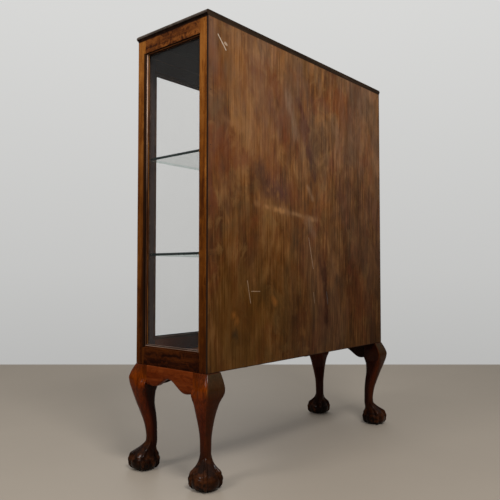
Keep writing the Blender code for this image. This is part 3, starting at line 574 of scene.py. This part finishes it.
# -------- the finishes
OAK = ((0.088, 0.023, 0.003), (0.232, 0.07, 0.008), (0.38, 0.14, 0.024))
FIGURED = ((0.035, 0.008, 0.002), (0.128, 0.035, 0.006), (0.25, 0.078, 0.014))
# the same oak retoned for the light at the rear posts: a painted-light copy of OAK
REAR_OAK_RELIT = ((0.076, 0.019, 0.003), (0.208, 0.06, 0.006), (0.35, 0.124, 0.02))
RED = ((0.046, 0.006, 0.0008), (0.104, 0.016, 0.002), (0.18, 0.036, 0.006))
BLACK = ((0.005, 0.0025, 0.001), (0.012, 0.005, 0.0025), (0.042, 0.016, 0.008))
# painted highlight: the grey-white line along a bead of the lower moulding
LOW_BEAD_HIGHLIGHT_TONES = ((0.06, 0.034, 0.022), (0.13, 0.078, 0.054), (0.24, 0.155, 0.115))
DARK = ((0.052, 0.026, 0.016), (0.098, 0.051, 0.033), (0.15, 0.084, 0.056))
BOTTOM = ((0.085, 0.028, 0.012), (0.16, 0.056, 0.024), (0.24, 0.095, 0.045))
RAW = ((0.016, 0.009, 0.005), (0.036, 0.021, 0.012), (0.08, 0.05, 0.03))
# painted highlight along the middle of the top's edge
TOP_EDGE_HIGHLIGHT_TONES = ((0.044, 0.031, 0.024), (0.088, 0.066, 0.053), (0.14, 0.108, 0.088))
# painted highlight: the bright pinkish line down the front bead of a side opening
BEAD_HIGHLIGHT_TONES = ((0.26, 0.13, 0.075), (0.52, 0.31, 0.21), (0.8, 0.56, 0.42))
# painted shade: near black, for the hollows and recessed steps of the mouldings
MOULDING_SHADE_TONES = ((0.008, 0.004, 0.002), (0.016, 0.008, 0.004), (0.03, 0.014, 0.008))

opening_low, opening_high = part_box("side_rail_bottom_right")[1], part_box("side_rail_top_right")[0]
opening_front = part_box("post_front_right")[1].y
# where the painted shadow line runs on the front posts, beside the front edge of each side opening
front_shadow_line = (opening_front, 0.0072, opening_low.z, opening_high.z)
front_post_wood = wood("front_post_wood", OAK, "Z", 0.3, low_shade=0.27, spread=0.12, shadow_line=front_shadow_line)
# painted shade on the rear posts: darker low down, reaching full tone lower than on the front posts
rear_shade_look = {"low_shade": 0.215, "spread": 0.12, "shade_heights": (0.3, 0.86)}
rear_post_wood = wood("rear_post_wood", REAR_OAK_RELIT, "Z", 0.3, shift=2.0, **rear_shade_look)
side_wood = wood("side_rail_wood", FIGURED, "Y", 1.0, shift=3.0, low_shade=0.24, spread=0.09)
front_wood = wood("front_rail_wood", FIGURED, "X", 0.8, shift=5.0, inner=(1, 1))
stile_wood = wood("door_stile_wood", OAK, "Z", 0.5, shift=8.0, low_shade=0.45, inner=(1, 1))
rail_wood = wood("door_rail_wood", OAK, "X", 0.8, shift=11.0, inner=(1, 1))
low_rail_wood = wood("door_low_rail_wood", OAK, "X", 0.8, shift=11.0, inner=(1, 1), inner_tones=LOW_TONES)
bead_wood = wood("bead_wood", OAK, "Z", 0.1, gloss=0.34, shift=13.0, low_shade=0.45, wear=0.9)
# the front beads' painted highlight, darkened lower down by painted shade
bead_highlight_look = {"gloss": 0.34, "low_shade": 0.11, "wear": 0.5, "shade_heights": (0.8, 1.12)}
rubbed_bead = wood("rubbed_bead", BEAD_HIGHLIGHT_TONES, "Z", 0.1, shift=15.0, **bead_highlight_look)
# painted highlight in a greyer tone, on beads of the mouldings
pale_bead = wood("pale_bead", LOW_BEAD_HIGHLIGHT_TONES, "Y", 0.1, gloss=0.34, shift=12.0, low_shade=1.0, wear=0.3)
# the mouldings' beads in painted shade
dark_bead = wood("dark_bead", FIGURED, "Y", 0.1, gloss=0.34, shift=16.0, low_shade=0.4, wear=0.3)
# painted shade in the mouldings' hollows
quirk_wood = wood("quirk_wood", MOULDING_SHADE_TONES, "Z", 0.1, gloss=0.5, shift=14.0, wear=0.0)
apron_look = {"figure": 0.4, "gloss": 0.32, "low_shade": 1.0, "inner_tones": APRON_BACK_SHADE}
left_apron_wood = wood("left_apron_wood", RED, "Y", shift=17.0, inner=(0, 1), **apron_look)
right_apron_wood = wood("right_apron_wood", RED, "Y", shift=18.0, inner=(0, -1), **apron_look)
front_apron_wood = wood("front_apron_wood", RED, "X", shift=19.0, inner=(1, 1), **apron_look)
top_finish = wood("top_wood", BLACK, "X", 0.3, gloss=0.36, shift=23.0, low_shade=1.0, wear=0.25)
raw_edge = wood("raw_edge", RAW, "X", 0.2, gloss=0.6, shift=26.0, low_shade=1.0, wear=0.2)
# painted highlight along the middle of the top's edge
dusty_edge = wood("dusty_edge", TOP_EDGE_HIGHLIGHT_TONES, "X", 0.1, gloss=0.5, shift=31.0, low_shade=1.0, wear=0.2)
inside_finish = wood("inside_wood", DARK, "X", 0.2, gloss=0.5, shift=29.0, low_shade=1.0, wear=0.2)
bottom_finish = wood("bottom_wood", BOTTOM, "X", 0.2, gloss=0.3, shift=53.0, low_shade=1.0, wear=0.2)
back_finish = back_ply()
leg_finish = leg_wood("leg_wood")
brass = metal("aged_brass", (0.56, 0.39, 0.15), (0.2, 0.12, 0.05), 0.26)
steel = metal("worn_steel", (0.42, 0.4, 0.37), (0.15, 0.13, 0.11), 0.3)
pin_metal = metal("dark_pin", (0.1, 0.07, 0.05), (0.03, 0.02, 0.015), 0.45)
pane = clear("pane_glass", (0.999, 0.999, 0.998), 0.026, 0.9)
shelf_clear = clear("shelf_glass", (0.985, 0.992, 0.984), 0.04, 0.22)
shelf_edge = green_edge("shelf_edge", (0.004, 0.013, 0.012), (0.01, 0.028, 0.025))
long_edge = clear("long_edge", (0.86, 0.93, 0.91), 0.14, 0.2)

KEPT = (  # what a node's name starts with, and its finish
    ("post_front_", front_post_wood),
    ("post_back_", rear_post_wood),
    ("side_rail_", side_wood),
    ("side_bead_", inside_finish),
    ("front_rail_", front_wood),
    ("bottom_board", bottom_finish),
    ("back_panel", back_finish),
    ("side_glass_", pane),
    ("shelf_pin_", brass),
    (("door_left_stile", "door_right_stile"), stile_wood),
    (("door_left_rail_bottom", "door_right_rail_bottom"), low_rail_wood),
    (("door_left_rail_top", "door_right_rail_top"), rail_wood),
    (("door_left_bead", "door_right_bead"), inside_finish),
    (("door_left_glass", "door_right_glass"), pane),
    ("hinge_", brass),
    ("lock_case", brass),
    ("lock_bolt", steel),
    ("sliding_bolt_", brass),
    ("key", steel),
    ("top_board", top_finish),
    ("shelf_", shelf_clear),
    ("apron_front", front_apron_wood),
    ("apron_left", left_apron_wood),
    ("apron_right", right_apron_wood),
    ("leg_", leg_finish),
)
for name, node in nodes.items():
    finish = next(material for start, material in KEPT if name.startswith(start))
    for held in node.material_slots:
        held.material = finish


# -------- legs
LEG_SECTIONS = (  # height, outer edge, inner edge, half width, squareness
    (0.3037, 0.0009, -0.069, 0.0362, 10),
    (0.2836, 0.0136, -0.0683, 0.0436, 8),
    (0.2664, 0.0208, -0.0678, 0.048, 8),
    (0.255, 0.0199, -0.0678, 0.0485, 7),
    (0.2445, 0.0174, -0.0659, 0.0452, 5),
    (0.233, 0.0134, -0.0611, 0.039, 3.6),
    (0.2197, 0.0086, -0.0568, 0.0334, 3),
    (0.19, -0.0032, -0.0544, 0.026, 2.4),
    (0.1614, -0.0151, -0.0583, 0.0205, 2.1),
    (0.1318, -0.025, -0.0614, 0.0165, 2),
    (0.1003, -0.0301, -0.0621, 0.0155, 2),
    (0.0812, -0.0292, -0.0624, 0.0152, 2),
    (0.068, -0.0262, -0.061, 0.015, 2),
    (0.054, -0.0215, -0.056, 0.0155, 2),
    (0.04, -0.015, -0.046, 0.015, 2),
)
FOOT = -0.0244  # the ball's axis, along the same diagonal
ANKLE = -0.0458  # the shaft's axis above the foot
BALL = (  # radius, height
    (0.015, 0.0), (0.0245, 0.001), (0.0322, 0.0052), (0.037, 0.0124), (0.0386, 0.02),
    (0.0376, 0.0284), (0.0336, 0.0362), (0.026, 0.0426), (0.012, 0.047),
)
TOE = (  # reach from the leg's own axis there, height, half width across, half depth
    (0.0118, 0.104, 0.0022, 0.0018),
    (0.0122, 0.09, 0.003, 0.0026),
    (0.0136, 0.077, 0.0035, 0.0034),
    (0.0172, 0.066, 0.004, 0.0042),
    (0.0228, 0.0565, 0.0046, 0.005),
    (0.0296, 0.0485, 0.0054, 0.006),
    (0.0348, 0.0415, 0.0068, 0.0076),
    (0.038, 0.0345, 0.005, 0.006),
    (0.04, 0.028, 0.0062, 0.0068),
    (0.0404, 0.0205, 0.0046, 0.005),
    (0.0398, 0.0145, 0.005, 0.0054),
    (0.0376, 0.0085, 0.0036, 0.004),
    (0.034, 0.0042, 0.0024, 0.0026),
    (0.0304, 0.0018, 0.0012, 0.0012),
)
WEB = (  # reach between the toes, height, extra reach and drop at the toes
    (0.0132, 0.09, 0.0002, 0.0),
    (0.0144, 0.078, 0.0008, 0.0),
    (0.0172, 0.067, 0.0012, 0.001),
    (0.0216, 0.0575, 0.0018, 0.0022),
    (0.0268, 0.0495, 0.0026, 0.004),
    (0.0316, 0.0425, 0.003, 0.0075),
    (0.0334, 0.0392, 0.003, 0.0105),
)
APRON_PROUD = 0.0024  # how far the aprons' faces stand out from the carcase where the knees meet them
REAR_SET = 0.0045  # how far the shafts of the rear legs stand in from the back


def eased(share):
    """A share held between 0 and 1, with a soft start and end."""
    share = min(max(share, 0), 1)
    return share * share * (3 - 2 * share)


def leg_axis(z):
    """Where the leg's axis stands on the diagonal: over the ball below, over the ankle above."""
    return FOOT + (ANKLE - FOOT) * eased((z - 0.036) / 0.048)


def leg_ring(z, outer, inner, half_width, squareness):
    """A rounded square on the diagonal, with a soft arris down its outer edge, held in by the aprons."""
    centre, half_length = (outer + inner) / 2, (outer - inner) / 2
    corner = sqrt(2) * 2 ** (-1 / squareness)
    arris = 0.0022 * exp(-(((z - 0.17) / 0.055) ** 2))
    ring = []
    for angle in angles(96):
        c, s = cos(angle), sin(angle)
        reach = (abs(c) ** squareness + abs(s) ** squareness) ** (-1 / squareness)
        x, y = reach * c / corner, reach * s / corner
        along, across = (x + y) / sqrt(2), (y - x) / sqrt(2)
        u, v = centre + half_length * along, half_width * across
        if along > 0:
            u += arris * exp(-((v / 0.0045) ** 2))
        x, y = (u - v) / sqrt(2), (u + v) / sqrt(2)
        ring.append(Vector((max(x, -LEG_BLOCK), max(y, -LEG_BLOCK), z)))
    return ring


def add_claw(bm, direction, rows):
    """One claw: oval rings on a path down over the ball."""
    out = Vector((cos(direction), sin(direction), 0))
    across = Vector((-sin(direction), cos(direction), 0))
    outward = Vector((1, 1, 0)) / sqrt(2)
    points = [leg_axis(z) * outward + reach * out + Vector((0, 0, z)) for reach, z, _, _ in rows]
    rings = []
    for i, (_, _, wide, deep) in enumerate(rows):
        before, after = points[max(i - 1, 0)], points[min(i + 1, len(points) - 1)]
        normal = across.cross((after - before).normalized())
        rings.append([points[i] + wide * cos(a) * across + deep * sin(a) * normal for a in angles(20)])
    loft(bm, rings)


def leg_mesh():
    """The carved leg for the back right corner, its origin below the carcase corner."""
    bm = bmesh.new()
    loft(bm, [leg_ring(*row) for row in smooth_table(LEG_SECTIONS, 5)])
    foot = Matrix.Translation(FOOT / sqrt(2) * Vector((1, 1, 0)))
    add_turned(bm, smooth_table(BALL, 4), foot, 64)
    toe = smooth_table(TOE, 4)
    for quarter in range(4):
        add_claw(bm, pi / 4 + quarter * pi / 2, toe)
    web = []
    for between, height, extra, drop in smooth_table(WEB, 3):
        ring = []
        for a in angles(64):
            lobe = (0.5 + 0.5 * cos(4 * a)) ** 1.5
            z = height - drop * lobe
            reach = between + extra * lobe
            u, v = leg_axis(z) + reach * cos(a), reach * sin(a)
            ring.append(Vector(((u - v) / sqrt(2), (u + v) / sqrt(2), z)))
        web.append(ring)
    loft(bm, web)
    mesh = remeshed(bm, voxel=0.0011, passes=3)
    for v in mesh.vertices:
        v.co.z = min(max(v.co.z, 0.0), LEG_TOP)
    mesh.shade_smooth()
    mesh.name = "carved_leg"
    return mesh


def settle(co, along, out):
    """Bring a knee down to the face of the apron that meets it; along and out are the apron's axes."""
    proud = co[out] - APRON_PROUD
    if proud > 0:
        rise = eased((co.z - 0.23) / 0.04)
        near = eased((-co[along] - 0.01) / (LEG_BLOCK - 0.014))
        co[out] -= proud * rise * near


def build_legs():
    """Four copies of the carved leg, turned to their corners."""
    pattern = leg_mesh()
    for place, x, y, turn, raw in (
        ("back_right", 1, 1, 0.0, 1),
        ("back_left", -1, 1, pi / 2, 0),
        ("front_left", -1, -1, pi, None),
        ("front_right", 1, -1, -pi / 2, None),
    ):
        finish = leg_wood(f"leg_wood_{place}", raw, 0.6 if place == "front_left" else 0.92)
        mesh = pattern.copy()
        for v in mesh.vertices:
            for out in (0, 1):
                if out != raw:
                    settle(v.co, 1 - out, out)
            if raw is not None:
                v.co[raw] -= REAR_SET * eased((0.255 - v.co.z) / 0.07)
        leg = add_object(f"carved_leg_{place}", mesh, [finish])
        leg.location = (x * HALF_X, y * HALF_Y, 0)
        leg.rotation_euler = (0, 0, turn)
        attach(leg, "cabinet")
        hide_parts(f"leg_{place}")


# -------- aprons, top, shelves
def apron_edge(turns, x):
    """Height of an apron's lower edge: a smooth swing from each turning point to the next."""
    for (x0, z0), (x1, z1) in zip(turns, turns[1:]):
        if x <= x1:
            return z0 + (z1 - z0) * (1 - cos(pi * max(x - x0, 0) / (x1 - x0))) / 2
    return turns[-1][1]


def build_apron(node, turns, steps, finish):
    """A shaped board whose lower arris is rounded over."""
    low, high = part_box(node)
    if node == "apron_front":
        reach, face, back = high.x, low.y, high.y
    else:
        reach = high.y
        face, back = (high.x, low.x) if high.x > 0 else (low.x, high.x)
    top, way = high.z, 1 if face > back else -1
    round_over = 0.0055
    bm = bmesh.new()
    rings = []
    for i in range(steps + 1):
        x = reach * (2 * i / steps - 1)
        edge = apron_edge(turns, x)
        ring = [(face - way * 0.0012, top), (face - way * 0.0003, top - 0.0006), (face, top - 0.0018)]
        for k in range(9):
            a = pi / 2 * k / 8
            ring.append((face - way * round_over * (1 - cos(a)), edge + round_over * (1 - sin(a))))
        ring.append((back + way * 0.0012, edge))
        ring.append((back, edge + 0.0012))
        ring.append((back, top))
        if node == "apron_front":
            rings.append([Vector((x, across, z)) for across, z in ring])
        else:
            rings.append([Vector((across, x, z)) for across, z in ring])
    loft(bm, rings)
    finished(f"shaped_{node}", bm, [finish], "cabinet", smooth=50, replaces=(node,))


TOP_EDGE = (  # inset from the widest outline, height above the underside
    (0.0048, 0.0), (0.0045, 0.0004), (0.0042, 0.003), (0.004, 0.0034), (0.0028, 0.0042),
    (0.0014, 0.0054), (0.0004, 0.007), (0.0, 0.0088), (0.0001, 0.0104), (0.0006, 0.0118),
    (0.0016, 0.013), (0.0029, 0.0136), (0.0032, 0.0137), (0.0036, 0.0144), (0.005, 0.01485),
    (0.0066, 0.015),
)
TOP_CORNER = 0.0115  # radius of the front corners
HIGHLIGHT_RISE = (0.0048, 0.0149)  # the part of the edge that takes a painted highlight, above the underside


def build_top():
    """The moulded top: its edge profile runs round the front and the sides and stops at the back."""
    low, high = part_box("top_board")
    rings = []
    for inset, rise in TOP_EDGE:
        x, y, r = high.x - inset, low.y + inset, TOP_CORNER - inset * 0.6
        ring = [Vector((x, high.y, low.z + rise))]
        for corner_x, start in ((x - r, 0), (-x + r, -pi / 2)):
            for k in range(11):
                a = -pi / 2 * k / 10 + start
                ring.append(Vector((corner_x + r * cos(a), y + r + r * sin(a), low.z + rise)))
        ring.append(Vector((-x, high.y, low.z + rise)))
        rings.append(ring)
    bm = bmesh.new()
    loft(bm, rings)
    for face in bm.faces:
        middle = face.calc_center_median()
        if middle.y > high.y - 1e-5:
            face.material_index = 1
        elif HIGHLIGHT_RISE[0] < middle.z - low.z < HIGHLIGHT_RISE[1]:
            face.material_index = 2
    looks = [top_finish, raw_edge, dusty_edge]
    finished("moulded_top", bm, looks, "cabinet", smooth=30, replaces=("top_board",))


def build_shelf(node):
    """Plate glass with ground, slightly green edges."""
    low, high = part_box(node)
    bm = bmesh.new()
    add_box(bm, low, high, 0.0009)
    bmesh.ops.recalc_face_normals(bm, faces=bm.faces)
    for face in bm.faces:
        face.normal_update()
        face.material_index = 0 if abs(face.normal.z) > 0.95 else 1 if abs(face.normal.x) > 0.5 else 2
    looks = [shelf_clear, shelf_edge, long_edge]
    finished(f"plate_{node}", bm, looks, "cabinet", smooth=30, replaces=(node,))


# -------- mouldings round the panes
BEAD = (  # depth from the face, how far it stands into the opening
    (0.0012, -0.0004), (0.0014, 0.0004), (0.0031, 0.001), (0.0035, 0.0026), (0.0029, 0.0032),
    (0.0026, 0.004), (0.0029, 0.0049), (0.0037, 0.0055), (0.0048, 0.0056), (0.0058, 0.0058),
    (0.0061, 0.0066), (0.006, 0.0074), (0.0064, 0.008), (0.007, 0.0081), (0.0086, 0.0081),
    (0.0087, -0.0004),
)
DOOR_STAND = (0.35,) * 4  # how far the door mouldings stand into the opening, as a share of BEAD
# a letter for each step: q painted shade, b bead, d bead in painted shade, r bead with a painted highlight,
# p bead with a greyer painted highlight; a row each for below, behind, above and in front
SIDE_LOOKS = (
    "qddddppqqqqppqqq",
    "qqqbbbbbqqqbbqqq",
    "qqqqqddqqqqqdqqq",
    "qqqrrrrrqqqbbqqq",
)
SIDE_STAND = (1.15, 0.85, 1.15, 0.92)  # the same for the side ones: in front, behind, below and above
DOOR_LOOKS = ("qqqbbbbbqqqbbqqq",) * 4


def build_moulding(name, low, high, place, looks, shares, body):
    """A mitred bead round the opening from low to high; place sets (across, up, depth) in the row frame."""
    bm = bmesh.new()
    rings = []
    for sx, sz in ((-1, -1), (1, -1), (1, 1), (-1, 1)):
        ring = []
        for depth, stand in BEAD:
            across = low[0] + stand * shares[0] if sx < 0 else high[0] - stand * shares[1]
            up = low[1] + stand * shares[2] if sz < 0 else high[1] - stand * shares[3]
            ring.append(place(across, up, depth))
        rings.append(ring)
    loft(bm, rings, closed_loop=True)
    for index, face in enumerate(bm.faces):
        face.material_index = "bqrdp".index(looks[index // len(BEAD)][index % len(BEAD)])
    finished(name, bm, [bead_wood, quirk_wood, rubbed_bead, dark_bead, pale_bead], body, smooth=30)


def build_mouldings():
    """The beads round the side panes and the door panes."""
    for side, way in (("left", -1), ("right", 1)):
        rail_low, rail_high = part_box(f"side_rail_bottom_{side}"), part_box(f"side_rail_top_{side}")
        build_moulding(
            f"side_moulding_{side}",
            (rail_low[0].y, rail_low[1].z),
            (rail_low[1].y, rail_high[0].z),
            lambda across, up, depth, way=way: Vector((way * (HALF_X - depth), across, up)),
            SIDE_LOOKS,
            SIDE_STAND,
            "cabinet",
        )
        rail_low, rail_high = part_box(f"door_{side}_rail_bottom"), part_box(f"door_{side}_rail_top")
        build_moulding(
            f"door_moulding_{side}",
            (rail_low[0].x, rail_low[1].z),
            (rail_low[1].x, rail_high[0].z),
            lambda across, up, depth: Vector((across, depth - HALF_Y, up)),
            DOOR_LOOKS,
            DOOR_STAND,
            f"door_{side}",
        )


# -------- small metalwork
SCREW = (  # radius, height
    (0.0021, -0.0004), (0.0021, 0.0001), (0.0019, 0.00035), (0.0012, 0.0005), (0.0005, 0.00055),
    (0.0001, 0.00056),
)


def add_screw(bm, place, turn):
    """A countersunk head with its slot, facing local Z."""
    head = bmesh.new()
    add_turned(head, SCREW, Matrix.Identity(4), 20)
    slot = bmesh.new()
    add_box(slot, (-0.0024, -0.00028, 0.00018), (0.0024, 0.00028, 0.002))
    blank = add_object("head", mesh_of("head", head))
    cutter = add_object("slot", mesh_of("slot", slot))
    cut = blank.modifiers.new("cut", "BOOLEAN")
    cut.operation = "DIFFERENCE"
    cut.solver = "EXACT"
    cut.object = cutter
    made = modified(blank, cutter)
    made.transform(place @ Matrix.Rotation(turn, 4, "Z"))
    bm.from_mesh(made)
    bpy.data.meshes.remove(made)


def facing(point, direction):
    """A matrix that sets local Z along a direction at a point."""
    turn = Vector(direction).to_track_quat("Z", "Y").to_matrix().to_4x4()
    return Matrix.Translation(point) @ turn


PIN = ((0.0015, -0.0006), (0.0015, 0.0001), (0.0012, 0.0003), (0.0004, 0.0004))
PIN_INSET = 0.0105
PIN_HEIGHTS = (0.322, 0.47, 0.618, 0.746, 0.91, 1.059, 1.247)
PIN_BAYS = 7  # spaces between the pins along the top and the bottom


def build_pins():
    """Panel pins round the edge of the back."""
    low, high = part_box("back_panel")
    bm = bmesh.new()
    left, right = low.x + PIN_INSET, high.x - PIN_INSET
    points = [(x, z) for z in PIN_HEIGHTS for x in (left, right)]
    for i in range(1, PIN_BAYS):
        x = left + (right - left) * i / PIN_BAYS
        points += [(x, low.z + 0.009), (x, high.z - 0.009)]
    for x, z in points:
        add_turned(bm, PIN, facing((x, HALF_Y, z), (0, 1, 0)), 12)
    finished("back_pins", bm, [pin_metal], "cabinet", smooth=50)


HINGE_LINE = 0.44525  # from the middle of the cabinet to between the leaves of a hinge


def build_screws():
    """The hinges' screws, three to a leaf."""
    for side, way in (("left", -1), ("right", 1)):
        for row in ("lower", "upper"):
            for leaf, body in (("post", "cabinet"), ("door", f"door_{side}")):
                low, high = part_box(f"hinge_{side}_{row}_{leaf}_leaf")
                out = -way if leaf == "post" else way
                face = way * HINGE_LINE - out * 0.00035
                bm = bmesh.new()
                for k, share in enumerate((0.17, 0.5, 0.83)):
                    z = low.z + (high.z - low.z) * share
                    point = Vector((face - out * 0.0003, high.y - 0.0055, z))
                    add_screw(bm, facing(point, (out, 0, 0)), 0.6 + 1.1 * k)
                finished(f"screws_{side}_{row}_{leaf}", bm, [brass], body, smooth=40)


BOW_REACH = 0.0096  # from the middle of the key's bow to its outside
BOW_RADIUS = 0.008  # to the middle of its wire
BOW_WIRE = (0.0015, 0.0013)  # half its width and half its thickness
KEY_BIT = 0.0073  # from the key's axis to the end of its bit
PLATE_HALF = (0.0075, 0.0125)  # half width and half height of the keyhole plate


def build_keyhole_plate():
    """An escutcheon round the keyhole."""
    low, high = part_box("key")
    x, z = (low.x + high.x) / 2, high.z - BOW_REACH
    rings = []
    for inset, proud in ((0.0, -0.0001), (0.0, 0.0007), (0.0006, 0.0011), (0.0012, 0.0012)):
        ring = []
        for a in angles(48):
            wide, tall = PLATE_HALF[0] - inset, PLATE_HALF[1] - inset
            ring.append((x + wide * cos(a), -HALF_Y - proud, z - 0.002 + tall * sin(a)))
        rings.append(ring)
    hole, slit = 0.0031, 0.0095
    inner = [(x + hole * cos(a), z + (hole if sin(a) > 0 else slit) * sin(a)) for a in angles(48)]
    for y in (-HALF_Y - 0.0012, -HALF_Y + 0.0001):
        rings.append([(px, y, pz) for px, pz in inner])
    bm = bmesh.new()
    loft(bm, rings, closed_loop=True)
    finished("keyhole_plate", bm, [brass], "door_right", smooth=40)


def build_key():
    """A small cabinet key: ring bow, collar, shank and bit."""
    low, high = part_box("key")
    x = (low.x + high.x) / 2
    bow = Vector((x, low.y + BOW_REACH, high.z - BOW_REACH))
    bm = bmesh.new()
    rings = []
    for a in angles(40):
        out = Vector((0, cos(a), sin(a)))
        wire = [(BOW_RADIUS + BOW_WIRE[0] * cos(b), BOW_WIRE[1] * sin(b)) for b in angles(14)]
        rings.append([bow + reach * out + Vector((side, 0, 0)) for reach, side in wire])
    loft(bm, rings, closed_loop=True)
    start = bow.y + BOW_RADIUS
    collar = ((0.0017, 0.0), (0.002, 0.0006), (0.0024, 0.0014), (0.002, 0.0022), (0.0017, 0.0028))
    add_turned(bm, (*collar, (0.0017, high.y - start)), facing((x, start, bow.z), (0, 1, 0)), 24)
    bit_low = (x - 0.0008, high.y - 0.005, bow.z - KEY_BIT)
    add_box(bm, bit_low, (x + 0.0008, high.y - 0.0004, bow.z), 0.0002)
    finished("turned_key", bm, [steel], "key", smooth=40, replaces=("key",))


# -------- floor, light and camera
CAMERA_AT = (1.557, 1.2366, 0.569)
CAMERA_YAW = -139.14  # degrees from +X
CAMERA_PITCH = 2.224  # degrees
CAMERA_LENS = 42.14  # millimetres, on CAMERA_SENSOR
CAMERA_SENSOR = 36.0
FLOOR_REACH = 1.67  # half the side of the floor
FLOOR_TONE = (0.37, 0.316, 0.256)
SKY_BLUE = 0.985  # the blue of the surroundings, as a share of their red and green
WALL_LEVELS = ((0.0, 0.46), (0.17, 0.56), (0.55, 0.7), (1.0, 1.0))
LIGHT_LEVELS = ((0.0, 0.03), (0.17, 0.06), (0.55, 0.24), (1.0, 0.76))
LIGHTS = (  # name, place, what it faces, side, watts
    ("window", (3.0, -0.3, 2.2), (0.1, 0.1, 0.7), 0.9, 32),
    ("overhead", (1.1, 1.7, 2.7), (0.1, 0.1, 1.0), 0.8, 46),
    ("fill", (-1.9, -2.3, 1.5), (0.0, 0.0, 0.9), 1.2, 6),
)


def build_stage():
    """Floor, light and camera."""
    bm = bmesh.new()
    bmesh.ops.create_grid(bm, x_segments=1, y_segments=1, size=FLOOR_REACH)
    floor_mesh = bpy.data.meshes.new("floor")
    bm.to_mesh(floor_mesh)
    bm.free()
    floor = add_object("floor", floor_mesh, [stage_finish("floor_finish", FLOOR_TONE, 0.06)])
    floor.rotation_euler = (0, 0, radians(CAMERA_YAW))

    world = bpy.data.worlds.new("studio")
    sky = Tree(world)
    up = sky.put("SeparateXYZ", {0: sky.put("TexCoord").outputs["Generated"]}).outputs[2]
    raised = sky.value("MapRange", {0: up, 1: -0.2, 2: 1.0})
    seen = {0: sky.put("LightPath").outputs["Is Camera Ray"]}
    for index, stops in ((1, LIGHT_LEVELS), (2, WALL_LEVELS)):
        greys = [(position, (level, level, level * SKY_BLUE)) for position, level in stops]
        seen[index] = sky.value("Background", {0: sky.ramp(raised, greys)})
    sky.closed(sky.value("MixShader", seen), "OutputWorld")
    bpy.context.scene.world = world

    for name, place, target, size, power in LIGHTS:
        lamp = bpy.data.lights.new(name, "AREA")
        lamp.shape = "SQUARE"
        lamp.size = size
        lamp.energy = power
        held = add_object(name, lamp)
        held.location = place
        held.rotation_euler = (Vector(target) - Vector(place)).to_track_quat("-Z", "Y").to_euler()

    camera = add_object("camera", bpy.data.cameras.new("camera"))
    camera.data.lens = CAMERA_LENS
    camera.data.sensor_width = CAMERA_SENSOR
    camera.location = CAMERA_AT
    heading, lift = radians(CAMERA_YAW), radians(CAMERA_PITCH)
    forward = Vector((cos(lift) * cos(heading), cos(lift) * sin(heading), sin(lift)))
    camera.rotation_euler = forward.to_track_quat("-Z", "Y").to_euler()
    bpy.context.scene.camera = camera
    bpy.context.scene.view_settings.view_transform = "Standard"


# -------- everything put in place
# turning points of the aprons' lower edges: place along the apron, height
SIDE_APRON = ((-0.0965, 0.249), (-0.068, 0.2465), (-0.006, 0.273), (0.064, 0.241), (0.0965, 0.2445))
HALF_FRONT = ((0.1, 0.254), (0.277, 0.257), (0.3695, 0.2345), (0.418, 0.2365))
FRONT_APRON = (*((-x, z) for x, z in reversed(HALF_FRONT)), (0.0, 0.236), *HALF_FRONT)
LEFT_APRON = ((-0.0965, 0.259), (-0.068, 0.257), *SIDE_APRON[2:])

build_legs()
build_apron("apron_left", LEFT_APRON, 72, left_apron_wood)
build_apron("apron_right", SIDE_APRON, 72, right_apron_wood)
build_apron("apron_front", FRONT_APRON, 160, front_apron_wood)
build_top()
build_shelf("shelf_lower")
build_shelf("shelf_upper")
build_mouldings()
build_pins()
build_screws()
build_keyhole_plate()
build_key()
build_stage()
